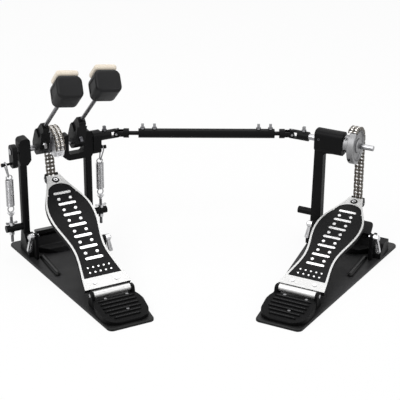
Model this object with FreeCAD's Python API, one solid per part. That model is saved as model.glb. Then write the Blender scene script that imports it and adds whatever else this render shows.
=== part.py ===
import FreeCAD, Part
import math
import os

# Double bass drum pedal: a main pedal with two beaters, a second pedal for the other foot,
# and a telescoping drive shaft with two universal joints between them.
# Each pedal is drawn in its own frame: u to the right, v towards the drum, w up, with the
# axle over u = 0, v = 0 and the floor at w = 0.  All sizes are millimetres.

os.makedirs("parts", exist_ok=True)
V = FreeCAD.Vector

# Where the two pedals stand
YAW = 27.1                  # each pedal's toe is turned out by this angle
HALF_SPAN = 247.0           # from the middle of the set to each axle's centre
AXLE_H = 186.0              # axle above the floor

# Base plate
PLATE_FRONT = -304.0        # heel edge
PLATE_REAR = 41.0           # drum edge
PLATE_HEEL_W = 75.0
PLATE_REAR_W = 147.0
PLATE_T = 4.0
PLATE_CORNER = 9.0
BRIDGE_HALF = 45.0
RIB_U = 41.5                # stiffening rib pressed into the plate on each side
RIB_FROM = -104.0
RIB_TO = -36.0
RIB_R = 4.5

# Hoop clamp: a jaw on a cross pin and a lever screw on each side
JAW_V = 7.0
JAW_W = 27.0
JAW_PIN_R = 2.5
JAW_OVER_BRIDGE = 4.0       # from the bridge's top to the middle of the jaw's pin
EAR_OVER_PIN = 4.0
EAR_V = (-7.0, 6.0)         # ears of the bridge, from the pin towards the heel and the drum
JAW_HALF = 36.0
JAW_REACH = 36.0
MAIN_JAW_TILT = -20.0
REMOTE_JAW_TILT = 12.0
CLAMP_R = 2.9
CLAMP_V = -34.0
CLAMP_W = 44.0
CLAMP_EAR = (49.0, 54.0)
SIDE_CLAMP_V = -62.0        # the main pedal's right screw stands clear of the footboard's waist
SIDE_CLAMP_W = 29.0
SIDE_EAR = (52.0, 60.0)

# Running gear
AXLE_R = 5.0
FIT = 0.05                  # radial running fit of a shaft in its bore
CHAIN_PITCH = 6.35
STRAND = 7.0                # distance between the two strands of the double chain
SPROCKET_TEETH = 29
ROLLER_R = 1.65
MAIN_WRAP = 15              # links that lie on each sprocket at rest
REMOTE_WRAP = 9
STROKE = 40.0               # swing of a beater
PLATE_THICK = 0.9           # chain link plates
CHAIN_PIN_R = 1.05
LINK_HALF = 2.6
REMOTE_AXLE_END = 33.0
AXLE_TIP_R = 4.4            # bare end of the remote axle, past its shoulder
SPROCKET_HALF = STRAND + 1.0
COLLAR_R = {True: 16.5, False: 12.5}   # with and without the plain front
SPROCKET_FLAT = 13.5        # the main sprocket is cut off flat below its axle

# Footboard, measured from the hinge axis along the board
HINGE_V = -226.0
HINGE_W = 23.0
BOARD_START = 13.0
BOARD_LENGTH = 245.0
BOARD_TOP = -2.0            # walking face relative to the hinge axis
BOARD_T = 7.0
RIM = 3.2                   # bright rim around the sunk field
FIELD_DEPTH = 0.8
FIELD_END = 0.918           # share of the board's length where the field's round top ends
FIELD_ARCH = 24.0
MAIN_BOARD_ANGLE = 24.2
REMOTE_BOARD_ANGLE = 13.4
BOARD_HALF = [(0.0, 38.5), (0.2, 30.0), (0.32, 27.3), (0.43, 31.0), (0.55, 37.5),
              (0.65, 39.5), (0.75, 35.8), (0.86, 24.5), (1.0, 12.0)]
TOE_PIN_S = BOARD_START + BOARD_LENGTH + 4.0
TOE_PIN_T = BOARD_TOP - 13.0
TOE_PIN_R = 1.7
TOE_SCREW_S = BOARD_START + 0.952 * BOARD_LENGTH
RIVET_U = 18.5
RIVET_S = BOARD_START + 11.0

# Heel plate
HEEL_FRONT = -297.0
HEEL_HALF = 40.0
HEEL_RIBS = 6
PIN_R = 3.0                 # hinge pin
SCREW_R = 1.3
SCREW_HEAD_R = 2.4
HEEL_SCREWS = [(-16.0, -239.3), (20.0, -239.3), (6.0, -273.4)]

# Posts and bearing housings
POST_HALF_V = 7.0
LEFT_POST = (-62.0, -50.0)
RIGHT_POST = (52.5, 64.0)
LEFT_HOUSING = (-63.5, -43.5)
YOKE_LEFT = (11.5, 23.0)
YOKE_RIGHT = (49.0, 65.5)
YOKE_HALF_V = 8.0
REMOTE_POST = (-67.0, -51.5)
REMOTE_HOUSING = (-68.0, -18.0)
FOOT_V = (-28.0, 14.0)

# Beaters
LEAN = 48.0                 # the beater leans back by this angle at rest
BEATER_OFFSET = 15.0        # shaft line from the axle, on the drum side
HEAD_DIST = 187.0
HEAD = (41.5, 42.0, 37.5)   # across, along the shaft, front to back
HEAD_TURN = -9.0            # both heads are turned a little on their shafts
HEAD_ROUND = (10.0, 5.0)    # edges along the shaft, edges of the ends
SHAFT_R = 3.2
HUB_MAIN = (-32.0, -16.5)
HUB_SECOND = (30.0, 47.0)
HUB_WAIST = 2.5             # each side of the tower is cut in by this
FELT_T = 11.0
KEY_R = 2.6                 # square-headed key screws
KEY_COLLAR_R = 4.2
KEY_H = AXLE_H + 24.0       # beater screw above the axle, with the beater upright
KEY_SEAT = -5.0             # floor of its spot face

# Return springs
SPRING_U = 80.0
CAM_LEFT = (66.6, 75.0)     # distance of the cams from the middle
CAM_RIGHT = (66.3, 80.5)
STUD_DROP = 21.0            # spring stud below the axle
SPRING_TOP = AXLE_H - 49.0
SPRING_BOTTOM = 78.0
WIRE_R = 1.0
COIL_R = 5.4
LUG_H = 50.0
LUG_R = 6.0
ROD_R = 2.4
ROD_HOLE_R = ROD_R + 0.15
COIL_PITCH = 2.65
LINK_OUT = 5.0              # wire link beside the spring's middle line
EYE_R = 7.2
LINK_WIRE_R = 1.2

# Drive shaft
JOINT_U = 112.0             # universal joint centre along each axle
YOKE_R = 8.0
CROSS_PIN_R = 2.0
ROD_FLATS = 6.6
TUBE_R = 8.0
TUBE_START = 37.0           # from the main joint's centre to the tube
TUBE_STOP = 29.0            # from the tube to the remote joint's centre

PITCH_R = CHAIN_PITCH / (2 * math.sin(math.pi / SPROCKET_TEETH))
TOOTH_ANGLE = 360.0 / SPROCKET_TEETH
NODES = {}


# Drawing helpers

def edge_loop(points, to_3d):
    """Closed wire through (a, b, radius) corners, each corner rounded by an arc of its radius."""
    count = len(points)
    ends = []
    for i in range(count):
        a, b, r = points[i]
        here = V(a, b, 0)
        back = (V(points[i - 1][0], points[i - 1][1], 0) - here).normalize()
        ahead = (V(points[(i + 1) % count][0], points[(i + 1) % count][1], 0) - here).normalize()
        if r <= 0:
            ends.append((here, None, here))
            continue
        half = back.getAngle(ahead) / 2
        reach = r / math.tan(half)
        middle = (back + ahead).normalize()
        centre = here + middle * (r / math.sin(half))
        ends.append((here + back * reach, centre - middle * r, here + ahead * reach))
    edges = []
    for i in range(count):
        start, mid, stop = ends[i]
        if mid is not None:
            edges.append(Part.Arc(to_3d(start), to_3d(mid), to_3d(stop)).toShape())
        following = ends[(i + 1) % count][0]
        if (following - stop).Length > 1e-6:
            edges.append(Part.LineSegment(to_3d(stop), to_3d(following)).toShape())
    return Part.Wire(edges)


def plan(points, w0, w1):
    """Outline in the u-v plane, raised from w0 to w1."""
    wire = edge_loop(points, lambda p: V(p.x, p.y, w0))
    return Part.Face(wire).extrude(V(0, 0, w1 - w0))


def side(points, u0, u1):
    """Outline in the v-w plane, drawn out from u0 to u1."""
    wire = edge_loop(points, lambda p: V(u0, p.x, p.y))
    return Part.Face(wire).extrude(V(u1 - u0, 0, 0))


def front(points, v0, v1):
    """Outline in the u-w plane, drawn out from v0 to v1."""
    wire = edge_loop(points, lambda p: V(p.x, v0, p.y))
    return Part.Face(wire).extrude(V(0, v1 - v0, 0))


def block(u0, u1, v0, v1, w0, w1, r=0.0):
    """Box with its upright edges rounded."""
    return plan([(u0, v0, r), (u1, v0, r), (u1, v1, r), (u0, v1, r)], w0, w1)


def rod(start, stop, r):
    """Round bar between two points."""
    along = stop - start
    return Part.makeCylinder(r, along.Length, start, along)


def hex_bar(start, stop, flats):
    """Six-sided bar between two points."""
    along = stop - start
    turn = FreeCAD.Rotation(V(0, 0, 1), along)
    corner = flats / math.sqrt(3)
    ring = []
    for i in range(6):
        a = math.radians(60 * i)
        ring.append(start + turn.multVec(V(corner * math.cos(a), corner * math.sin(a), 0)))
    return Part.Face(Part.makePolygon(ring + ring[:1])).extrude(along)


def joined(shapes):
    whole = shapes[0].multiFuse(shapes[1:]) if len(shapes) > 1 else shapes[0]
    return whole.removeSplitter()


def group(shapes):
    return Part.makeCompound(shapes)


def turned(shape, centre, axis, degrees):
    copy = shape.copy()
    copy.rotate(centre, axis, degrees)
    return copy


def mirrored(shape):
    """The same piece on the other side of the pedal."""
    return shape.mirror(V(0, 0, 0), V(1, 0, 0))


U_AXIS = V(1, 0, 0)
W_AXIS = V(0, 0, 1)
AXLE = V(0, 0, AXLE_H)
HINGE = V(0, HINGE_V, HINGE_W)


def axle_bore(u0, u1):
    return rod(V(u0, 0, AXLE_H), V(u1, 0, AXLE_H), AXLE_R + FIT)


# Base plate, bridge, posts

def base_plate():
    heel = PLATE_HEEL_W / 2
    rear = PLATE_REAR_W / 2
    outline = [(-heel, PLATE_FRONT, PLATE_CORNER), (heel, PLATE_FRONT, PLATE_CORNER),
               (rear, PLATE_REAR, PLATE_CORNER), (-rear, PLATE_REAR, PLATE_CORNER)]
    plate = plan(outline, 0, PLATE_T)
    top = [e for e in plate.Edges if e.BoundBox.ZMin > PLATE_T - 0.01]
    plate = plate.makeFillet(1.6, top)
    ribs = []
    for u in (-RIB_U, RIB_U):
        bar = rod(V(u, RIB_FROM, PLATE_T), V(u, RIB_TO, PLATE_T), RIB_R)
        ends = [Part.makeSphere(RIB_R, V(u, v, PLATE_T)) for v in (RIB_FROM, RIB_TO)]
        above = block(u - RIB_R, u + RIB_R, RIB_FROM - RIB_R, RIB_TO + RIB_R, PLATE_T - 1, PLATE_T + RIB_R)
        ribs.append(joined([bar] + ends).common(above))
    return joined([plate] + ribs)


def bridge():
    """Cross casting between the posts' feet: sloped top, low lip bowed to the heel, ears for the jaw."""
    top = JAW_W - JAW_OVER_BRIDGE
    profile = [(13, PLATE_T, 0), (13, top, 3), (2, top, 4), (-13, 13, 6), (-29, 12, 3), (-32, PLATE_T, 0)]
    half = BRIDGE_HALF
    cast = side(profile, -half, half)
    outline = [(-half, 13.5, 0), (-half, -12, 6), (-26, -29, 20), (0, -34, 40), (26, -29, 20),
               (half, -12, 6), (half, 13.5, 0)]
    cast = cast.common(plan(outline, 0, 40))
    v0, v1 = JAW_V + EAR_V[0], JAW_V + EAR_V[1]
    high = JAW_W + EAR_OVER_PIN
    for u in (-half, half - 4):
        ear = side([(v0, top - 5, 0), (v0, high, 3), (v1, high, 3), (v1, top - 5, 0)], u, u + 4)
        cast = cast.fuse(ear)
    cast = cast.cut(rod(V(-60, JAW_V, JAW_W), V(60, JAW_V, JAW_W), JAW_PIN_R + FIT))
    return cast.removeSplitter()


def hoop_jaw(tilt):
    """Clamp jaw: a flat tongue with rounded corners on a cross pin held by the bridge's ears."""
    tongue = plan([(-JAW_HALF, 3, 3), (JAW_HALF, 3, 3), (JAW_HALF - 6, JAW_REACH, 8),
                   (6 - JAW_HALF, JAW_REACH, 8)], JAW_W + 0.5, JAW_W + 4.5)
    lip = side([(JAW_REACH - 7, JAW_W - 1.5, 1), (JAW_REACH - 1, JAW_W - 1.5, 1),
                (JAW_REACH - 1, JAW_W + 2, 0), (JAW_REACH - 7, JAW_W + 2, 0)], 9 - JAW_HALF, JAW_HALF - 9)
    pin = rod(V(-44.5, JAW_V, JAW_W), V(44.5, JAW_V, JAW_W), JAW_PIN_R)
    boss = rod(V(-JAW_HALF, JAW_V, JAW_W), V(JAW_HALF, JAW_V, JAW_W), JAW_PIN_R + 1.2)
    jaw = joined([tongue, lip, boss, pin])
    return turned(jaw, V(0, JAW_V, JAW_W), U_AXIS, tilt)


def foot(u0, u1, v0=FOOT_V[0]):
    """Foot of a post: a block with a sloped gusset towards the heel."""
    profile = [(v0, PLATE_T, 0), (v0, 13, 4), (-POST_HALF_V - 1, 40, 6), (POST_HALF_V, 40, 2),
               (FOOT_V[1], PLATE_T, 0)]
    return side(profile, u0, u1)


def spring_lug(u_post, u_end):
    """Round stub on the outside of a post with an upright hole for the spring rod."""
    stub = rod(V(u_post, 0, LUG_H), V(u_end, 0, LUG_H), LUG_R)
    return stub


def lug_hole(u):
    return rod(V(u, 0, LUG_H - 2 * LUG_R), V(u, 0, LUG_H + 2 * LUG_R), ROD_HOLE_R)


def clamp_ear(u_in, u_out, v, w):
    """Upright ear that carries one clamp screw, standing on the plate."""
    outline = [(v - 7, PLATE_T, 0), (v - 6, w + 5, 4), (v + 6, w + 5, 4), (v + 7, PLATE_T, 0)]
    return side(outline, u_in, u_out)


def clamp_hole(u_in, u_out, v, w):
    return rod(V(u_in - 30, v, w), V(u_out + 30, v, w), CLAMP_R + 0.1)


def clamp_foot(sign):
    """Low web that ties a clamp ear to the foot behind it."""
    web = block(CLAMP_EAR[0], CLAMP_EAR[1], CLAMP_V, 0, PLATE_T, 12)
    return web if sign > 0 else mirrored(web)


def left_post():
    p0, p1 = LEFT_POST
    h0, h1 = LEFT_HOUSING
    post = block(p0, p1, -POST_HALF_V, POST_HALF_V, PLATE_T, AXLE_H, 3)
    housing = front([(p0, AXLE_H - 25, 2), (p1, AXLE_H - 25, 2), (h1, AXLE_H - 17, 4),
                     (h1 - 1, AXLE_H + 22, 6), (h0 + 1, AXLE_H + 20, 6), (h0, AXLE_H - 17, 4)], -10, 10)
    shape = joined([post, housing, foot(p0, p1), spring_lug(p0 + 4, -SPRING_U - 10),
                    clamp_ear(-CLAMP_EAR[1], -CLAMP_EAR[0], CLAMP_V, CLAMP_W), clamp_foot(-1)])
    shape = shape.cut(axle_bore(h0 - 5, h1 + 5)).cut(lug_hole(-SPRING_U))
    return shape.cut(clamp_hole(-CLAMP_EAR[1], -CLAMP_EAR[0], CLAMP_V, CLAMP_W))


def right_post():
    """Post whose head is a yoke round the second beater's hub."""
    p0, p1 = RIGHT_POST
    left, right = YOKE_LEFT[0], YOKE_RIGHT[1]
    post = block(p0, p1, -POST_HALF_V, POST_HALF_V, PLATE_T, AXLE_H - 18, 3)
    yoke = front([(left, AXLE_H + 14, 9), (left, AXLE_H - 22, 8), (left + 10, AXLE_H - 31, 12),
                  (right - 3, AXLE_H - 31, 3), (right, AXLE_H - 26, 3), (right, AXLE_H + 16, 9)],
                 -YOKE_HALF_V, YOKE_HALF_V)
    slot = front([(YOKE_LEFT[1], AXLE_H - 20.5, 4), (YOKE_RIGHT[0], AXLE_H - 20.5, 4),
                  (YOKE_RIGHT[0], AXLE_H + 60, 0), (YOKE_LEFT[1], AXLE_H + 60, 0)], -20, 20)
    shape = joined([post, yoke.cut(slot), foot(p0, p1), spring_lug(p1 - 4, SPRING_U + 10),
                    side_clamp_arm(p0, p1)])
    shape = shape.cut(axle_bore(left - 5, right + 5)).cut(lug_hole(SPRING_U))
    return shape.cut(clamp_hole(SIDE_EAR[0], SIDE_EAR[1], SIDE_CLAMP_V, SIDE_CLAMP_W))


def side_clamp_arm(p0, p1):
    """Low arm that runs from the right post's foot to the ear of the right clamp screw."""
    arm = side([(SIDE_CLAMP_V - 8, PLATE_T, 0), (SIDE_CLAMP_V - 7, 12, 3), (FOOT_V[0] + 4, 12, 0),
                (FOOT_V[0] + 4, PLATE_T, 0)], p0 + 2, p1 - 2.5)
    return arm.fuse(clamp_ear(SIDE_EAR[0], SIDE_EAR[1], SIDE_CLAMP_V, SIDE_CLAMP_W))


def remote_post():
    """Post with a long horizontal bearing housing that carries the axle from one side."""
    p0, p1 = REMOTE_POST
    h0, h1 = REMOTE_HOUSING
    post = front([(p0 - 3, PLATE_T, 0), (p1, PLATE_T, 0), (p1, AXLE_H - 22, 8), (p1 + 20, AXLE_H - 20, 0),
                  (p1 + 20, AXLE_H, 0), (p0, AXLE_H, 0)], -POST_HALF_V, POST_HALF_V)
    housing = side([(-12, AXLE_H - 21, 8), (12, AXLE_H - 21, 8), (12, AXLE_H + 19, 10),
                    (-12, AXLE_H + 19, 10)], h0, h1)
    ends = [e for e in housing.Edges if e.BoundBox.XLength < 0.01 and e.BoundBox.XMin < h0 + 1]
    housing = housing.makeFillet(4, ends)
    shape = joined([post, housing, foot(p0 - 1, p1), spring_lug(p0 + 4, -SPRING_U - 14),
                    clamp_ear(-CLAMP_EAR[1], -CLAMP_EAR[0], CLAMP_V, CLAMP_W), clamp_foot(-1)])
    shape = shape.cut(axle_bore(h0 - 5, h1 + 5)).cut(lug_hole(-SPRING_U))
    return shape.cut(clamp_hole(-CLAMP_EAR[1], -CLAMP_EAR[0], CLAMP_V, CLAMP_W))


def remote_bridge():
    """Bridge of the second pedal: no post on the right, so it ends in a low foot with the clamp ear."""
    top = JAW_W - 1.0
    low = side([(FOOT_V[0], PLATE_T, 0), (FOOT_V[0], 12, 4), (-14, top, 4), (10, top, 2), (13, PLATE_T, 0)],
               BRIDGE_HALF - 1, 66)
    ear = clamp_ear(CLAMP_EAR[0], CLAMP_EAR[1], CLAMP_V, CLAMP_W)
    shape = joined([bridge(), low, ear, clamp_foot(1)])
    shape = shape.cut(rod(V(-60, JAW_V, JAW_W), V(60, JAW_V, JAW_W), JAW_PIN_R + FIT))
    return shape.cut(clamp_hole(CLAMP_EAR[0], CLAMP_EAR[1], CLAMP_V, CLAMP_W))


def clamp_screw(u_ear_out, v, w, tip, sign):
    """Lever screw: threaded shank across the pedal, round hub and one lever that hangs down."""
    shank = rod(V(tip, v, w), V(u_ear_out + 1.0, v, w), CLAMP_R)
    grip = rod(V(u_ear_out + 0.6, v, w), V(u_ear_out + 8, v, w), 5.6)
    dome = Part.makeCone(5.6, 3.0, 2.5, V(u_ear_out + 8, v, w), U_AXIS)
    lever = front([(u_ear_out + 2.5, w - 1, 0), (u_ear_out + 7.5, w - 1, 0), (u_ear_out + 13.5, w - 26, 2.0),
                   (u_ear_out + 6.5, w - 26, 2.0)], v - 2.8, v + 2.8)
    slot = front([(u_ear_out + 6.2, w - 10, 0), (u_ear_out + 8.2, w - 10, 0), (u_ear_out + 10.8, w - 22, 0),
                  (u_ear_out + 8.8, w - 22, 0)], v - 4, v - 2)
    screw = joined([shank, grip, dome, lever]).cut(slot)
    return screw if sign > 0 else mirrored(screw)


# Heel plate and footboard

def heel_plate():
    """Wedge with a rounded heel, cross ribs and two hinge ears."""
    rise = [(HEEL_FRONT, PLATE_T, 0), (HEEL_FRONT, 8.5, 2), (-246, 18.5, 8), (HINGE_V - 8.5, 18.5, 1),
            (HINGE_V - 8.5, PLATE_T, 0)]
    wedge = side(rise, -HEEL_HALF, HEEL_HALF)
    outline = [(-33, HINGE_V, 0), (-HEEL_HALF, -256, 14), (-HEEL_HALF + 3, HEEL_FRONT, 24),
               (HEEL_HALF - 3, HEEL_FRONT, 24), (HEEL_HALF, -256, 14), (33, HINGE_V, 0)]
    wedge = wedge.common(plan(outline, 0, 60))
    parts = [wedge]
    slope = math.atan2(10, -246 - HEEL_FRONT)
    for i in range(HEEL_RIBS):
        v = HEEL_FRONT + 11 + 8.4 * i
        w = min(8.5 + (v - HEEL_FRONT) * math.tan(slope), 18.5)
        half = min(30.0, 22 + 4.0 * i)
        bar = block(-half, half, v - 2, v + 2, w - 2, w + 1.4, 1.9)
        parts.append(bar)
    for u0, u1 in ((-36.0, -31.0), (31.0, 36.0)):
        ear = side([(HINGE_V - 12, PLATE_T, 0), (HINGE_V - 7, HINGE_W + 5, 5), (HINGE_V + 6, HINGE_W + 5, 5),
                    (HINGE_V + 7, PLATE_T, 0)], u0, u1)
        parts.append(ear)
    plate = joined(parts)
    plate = plate.cut(rod(HINGE - U_AXIS * 50, HINGE + U_AXIS * 50, PIN_R + 0.01))
    for u, v in HEEL_SCREWS:
        plate = plate.cut(rod(V(u, v, PLATE_T), V(u, v, 40), SCREW_R + 0.02))
        plate = plate.cut(rod(V(u, v, heel_seat(v)), V(u, v, 40), SCREW_HEAD_R + 0.1))
    return plate


def heel_seat(v):
    """Floor of the pocket that takes a heel screw's head."""
    return min(18.5, 8.5 + 10.0 * (v - HEEL_FRONT) / (-246 - HEEL_FRONT)) - 1.0


def heel_screws():
    """Round-headed screws that hold the heel plate down."""
    screws = []
    for u, v in HEEL_SCREWS:
        seat = heel_seat(v)
        shank = rod(V(u, v, PLATE_T + 0.2), V(u, v, seat + 0.5), SCREW_R)
        head = rod(V(u, v, seat), V(u, v, seat + 2.6), SCREW_HEAD_R)
        screws.append(joined([shank, head]))
    return group(screws)


def hinge_pin():
    return rod(HINGE - U_AXIS * 36.6, HINGE + U_AXIS * 36.6, PIN_R)


def board_curve(shrink, start, stop, height):
    """Closed outline of the board, drawn in by shrink, between two shares of its length."""
    here = []
    for share, half in BOARD_HALF:
        here.append((share, half - shrink))
    inside = [h for h in here if start < h[0] < stop]

    def half_at(share):
        for (a, x), (b, y) in zip(here, here[1:]):
            if a <= share <= b:
                return x + (y - x) * (share - a) / (b - a)
        return here[-1][1]
    ring = [(start, half_at(start))] + inside + [(stop, half_at(stop))]
    right = [V(half, BOARD_START + share * BOARD_LENGTH, height) for share, half in ring]
    left = [V(-p.x, p.y, height) for p in reversed(right)]
    curves = []
    for points in (right, left):
        spline = Part.BSplineCurve()
        spline.interpolate(points)
        curves.append(spline)
    toe = Part.LineSegment(right[-1], left[0]).toShape()
    heel = Part.LineSegment(left[-1], right[0]).toShape()
    return Part.Face(Part.Wire([curves[0].toShape(), toe, curves[1].toShape(), heel]))


def field_face(height):
    """Sunk walking field with a rounded top."""
    face = board_curve(RIM, 0.088, 0.93, height)
    centre = BOARD_START + FIELD_END * BOARD_LENGTH - FIELD_ARCH
    round_top = rod(V(0, centre, height - 1), V(0, centre, height + 1), FIELD_ARCH)
    cap = joined([round_top, block(-40, 40, -10, centre, height - 1, height + 1)])
    return face.common(cap)


def footboard():
    """Cast board with a bright rim round a sunk field, hinge knuckle, side skirts and a chain clevis."""
    board = board_curve(0, 0, 1, BOARD_TOP - BOARD_T).extrude(V(0, 0, BOARD_T))
    field = field_face(BOARD_TOP - FIELD_DEPTH).extrude(V(0, 0, FIELD_DEPTH + 1))
    board = board.cut(field)
    hollow = board_curve(5, 0.06, 0.9, BOARD_TOP - BOARD_T - 1).extrude(V(0, 0, BOARD_T - 3 + 1))
    board = board.cut(hollow)
    knuckle = rod(V(-30.4, 0, 0), V(30.4, 0, 0), 5.8)
    web = block(-30.4, 30.4, -1, BOARD_START + 2, BOARD_TOP - BOARD_T + 1.5, BOARD_TOP - 0.5)
    clevis = []
    for u0, u1 in ((-11.5, -8.2), (8.2, 11.5)):
        cheek = side([(TOE_PIN_S - 22, BOARD_TOP - 4, 0), (TOE_PIN_S - 4, TOE_PIN_T - 4, 3),
                      (TOE_PIN_S + 4.5, TOE_PIN_T - 4, 3), (TOE_PIN_S + 4.5, BOARD_TOP - 4, 0)], u0, u1)
        clevis.append(cheek)
    notch = block(-8.2, 8.2, TOE_PIN_S - 5.5, TOE_PIN_S + 30, -40, 5)
    shape = joined([board, knuckle, web] + clevis).cut(notch)
    shape = shape.cut(rod(V(-40, 0, 0), V(40, 0, 0), PIN_R + FIT))
    shape = shape.cut(rod(V(-20, TOE_PIN_S, TOE_PIN_T), V(20, TOE_PIN_S, TOE_PIN_T), TOE_PIN_R + FIT))
    holes = [rod(V(u, s, BOARD_TOP - 20), V(u, s, 10), r) for u, s, r in
             [(0, TOE_SCREW_S, 2.52), (-RIVET_U, RIVET_S, 1.62), (RIVET_U, RIVET_S, 1.62)]]
    return shape.cut(group(holes))


def toe_fasteners():
    """Toe screw, two heel rivets and the cross pin of the chain clevis."""
    screw = joined([rod(V(0, TOE_SCREW_S, BOARD_TOP - 6), V(0, TOE_SCREW_S, BOARD_TOP + 0.5), 2.5),
                    rod(V(0, TOE_SCREW_S, BOARD_TOP + 0.02), V(0, TOE_SCREW_S, BOARD_TOP + 1.3), 5.2)])
    screw = screw.cut(hex_bar(V(0, TOE_SCREW_S, BOARD_TOP + 0.4), V(0, TOE_SCREW_S, BOARD_TOP + 3), 4))
    rivets = []
    for u in (-RIVET_U, RIVET_U):
        rivets.append(joined([rod(V(u, RIVET_S, BOARD_TOP - 5), V(u, RIVET_S, BOARD_TOP + 0.4), 1.6),
                              rod(V(u, RIVET_S, BOARD_TOP + 0.02), V(u, RIVET_S, BOARD_TOP + 1.3), 3.2)]))
    pin = rod(V(-12, TOE_PIN_S, TOE_PIN_T), V(12, TOE_PIN_S, TOE_PIN_T), TOE_PIN_R)
    return group([screw, pin] + rivets)


def on_board(shape, angle):
    """Carry a piece drawn along the board to its place: hinge at the heel, toe up by angle."""
    copy = turned(shape, V(0, 0, 0), U_AXIS, angle)
    copy.translate(HINGE)
    return copy


def board_point(s, t, angle):
    a = math.radians(angle)
    return V(0, HINGE_V + s * math.cos(a) - t * math.sin(a), HINGE_W + s * math.sin(a) + t * math.cos(a))


# Chain and sprocket

def link_plate(p, q, u, thick, half):
    """Link plate between two pins, its ends cut to half an octagon."""
    along = (q - p).normalize()
    across = V(0, -along.z, along.y)
    shoulder = half * 0.45
    ring = []
    for centre, sign in ((p, -1), (q, 1)):
        for a, b in ((shoulder, -half), (half, -shoulder), (half, shoulder), (shoulder, half)):
            ring.append(centre + along * (a * sign) + across * (b * sign))
    ring = [V(u - thick / 2, point.y, point.z) for point in ring]
    return Part.Face(Part.makePolygon(ring + ring[:1])).extrude(V(thick, 0, 0))


def prism_pin(p, u0, u1, r, sides=6):
    ring = []
    for i in range(sides):
        a = 2 * math.pi * i / sides
        ring.append(V(u0, p.y + r * math.cos(a), p.z + r * math.sin(a)))
    return Part.Face(Part.makePolygon(ring + ring[:1])).extrude(V(u1 - u0, 0, 0))


def pin_link(p, q, pins):
    """Outer link: two outside plates, one plate between the strands and its pins."""
    plates = [link_plate(p, q, u, PLATE_THICK, LINK_HALF) for u in (-STRAND, 0, STRAND)]
    bars = [prism_pin(at, -STRAND - 0.9, STRAND + 0.9, CHAIN_PIN_R) for at in pins]
    return joined(plates + bars)


def roller_link(p, q):
    """Inner link: a pair of plates and two rollers on each strand, with the pin holes through."""
    parts = []
    for strand in (-STRAND / 2, STRAND / 2):
        for u in (-1.9, 1.9):
            parts.append(link_plate(p, q, strand + u, PLATE_THICK, LINK_HALF - 0.2))
        for at in (p, q):
            parts.append(prism_pin(at, strand - 1.9, strand + 1.9, ROLLER_R))
    holes = [prism_pin(at, -20, 20, CHAIN_PIN_R + 0.12) for at in (p, q)]
    return joined(parts).cut(group(holes))


def toe_from_axle(angle):
    """Toe pin seen from the axle, for a board raised by angle."""
    return board_point(TOE_PIN_S, TOE_PIN_T, angle) - AXLE


def tangent_angle(angle):
    """Where the straight chain leaves the sprocket, measured from the drum side upwards, in degrees."""
    toe = toe_from_axle(angle)
    reach = math.hypot(toe.y, toe.z)
    return math.degrees(math.atan2(toe.z, toe.y) + math.acos(PITCH_R / reach))


def chain_out(angle):
    """Length of chain between the top of the sprocket and the toe pin."""
    toe = toe_from_axle(angle)
    free = math.sqrt(toe.y ** 2 + toe.z ** 2 - PITCH_R ** 2)
    return free + PITCH_R * math.radians(90 - tangent_angle(angle))


def board_stroke(angle):
    """Turn of the board that swings the beater through its stroke."""
    pull = PITCH_R * math.radians(STROKE)
    low, high = 0.0, 12.0
    for _ in range(40):
        middle = (low + high) / 2
        if chain_out(angle - middle) - chain_out(angle) < pull:
            low = middle
        else:
            high = middle
    return low


def wrap_point(index, start):
    """Pin of the wrapped chain: pin 0 leaves the sprocket on the drum side, the rest go over the top."""
    a = math.radians(start + index * TOOTH_ANGLE)
    return V(0, PITCH_R * math.cos(a), AXLE_H + PITCH_R * math.sin(a))


def chain_wrapped(angle, links):
    """Links on the sprocket; the lowest one ends in bare plates, where the chain is opened."""
    start = tangent_angle(angle)
    solids = []
    for i in range(links):
        p, q = wrap_point(i, start), wrap_point(i + 1, start)
        if i % 2 == 0:
            solids.append(pin_link(p, q, [q] if i == 0 else [p, q]))
        else:
            solids.append(roller_link(p, q))
    return group(solids)


def chain_hanging(angle):
    """Straight links from the sprocket to the toe, ended by a drop strap on the toe pin."""
    start = wrap_point(0, tangent_angle(angle))
    stop = board_point(TOE_PIN_S, TOE_PIN_T, angle)
    along = (stop - start).normalize()
    links = int(((stop - start).Length - 6.5) / CHAIN_PITCH)
    links -= 1 - links % 2
    pins = [start + along * (CHAIN_PITCH * i) for i in range(links + 1)]
    solids = []
    for i in range(links):
        p, q = pins[i], pins[i + 1]
        solids.append(roller_link(p, q) if i % 2 == 0 else pin_link(p, q, [p, q]))
    stubs = [prism_pin(pins[0], u - 2.6, u + 2.6, CHAIN_PIN_R) for u in (-STRAND / 2, STRAND / 2)]
    plates = [link_plate(pins[-1], stop, u, PLATE_THICK, 3.0) for u in (-STRAND, 0, STRAND)]
    strap = joined(plates + [prism_pin(pins[-1], -STRAND - 0.9, STRAND + 0.9, CHAIN_PIN_R)])
    strap = strap.cut(rod(stop - U_AXIS * 20, stop + U_AXIS * 20, TOE_PIN_R + FIT))
    return group(solids + stubs + [strap])


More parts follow.
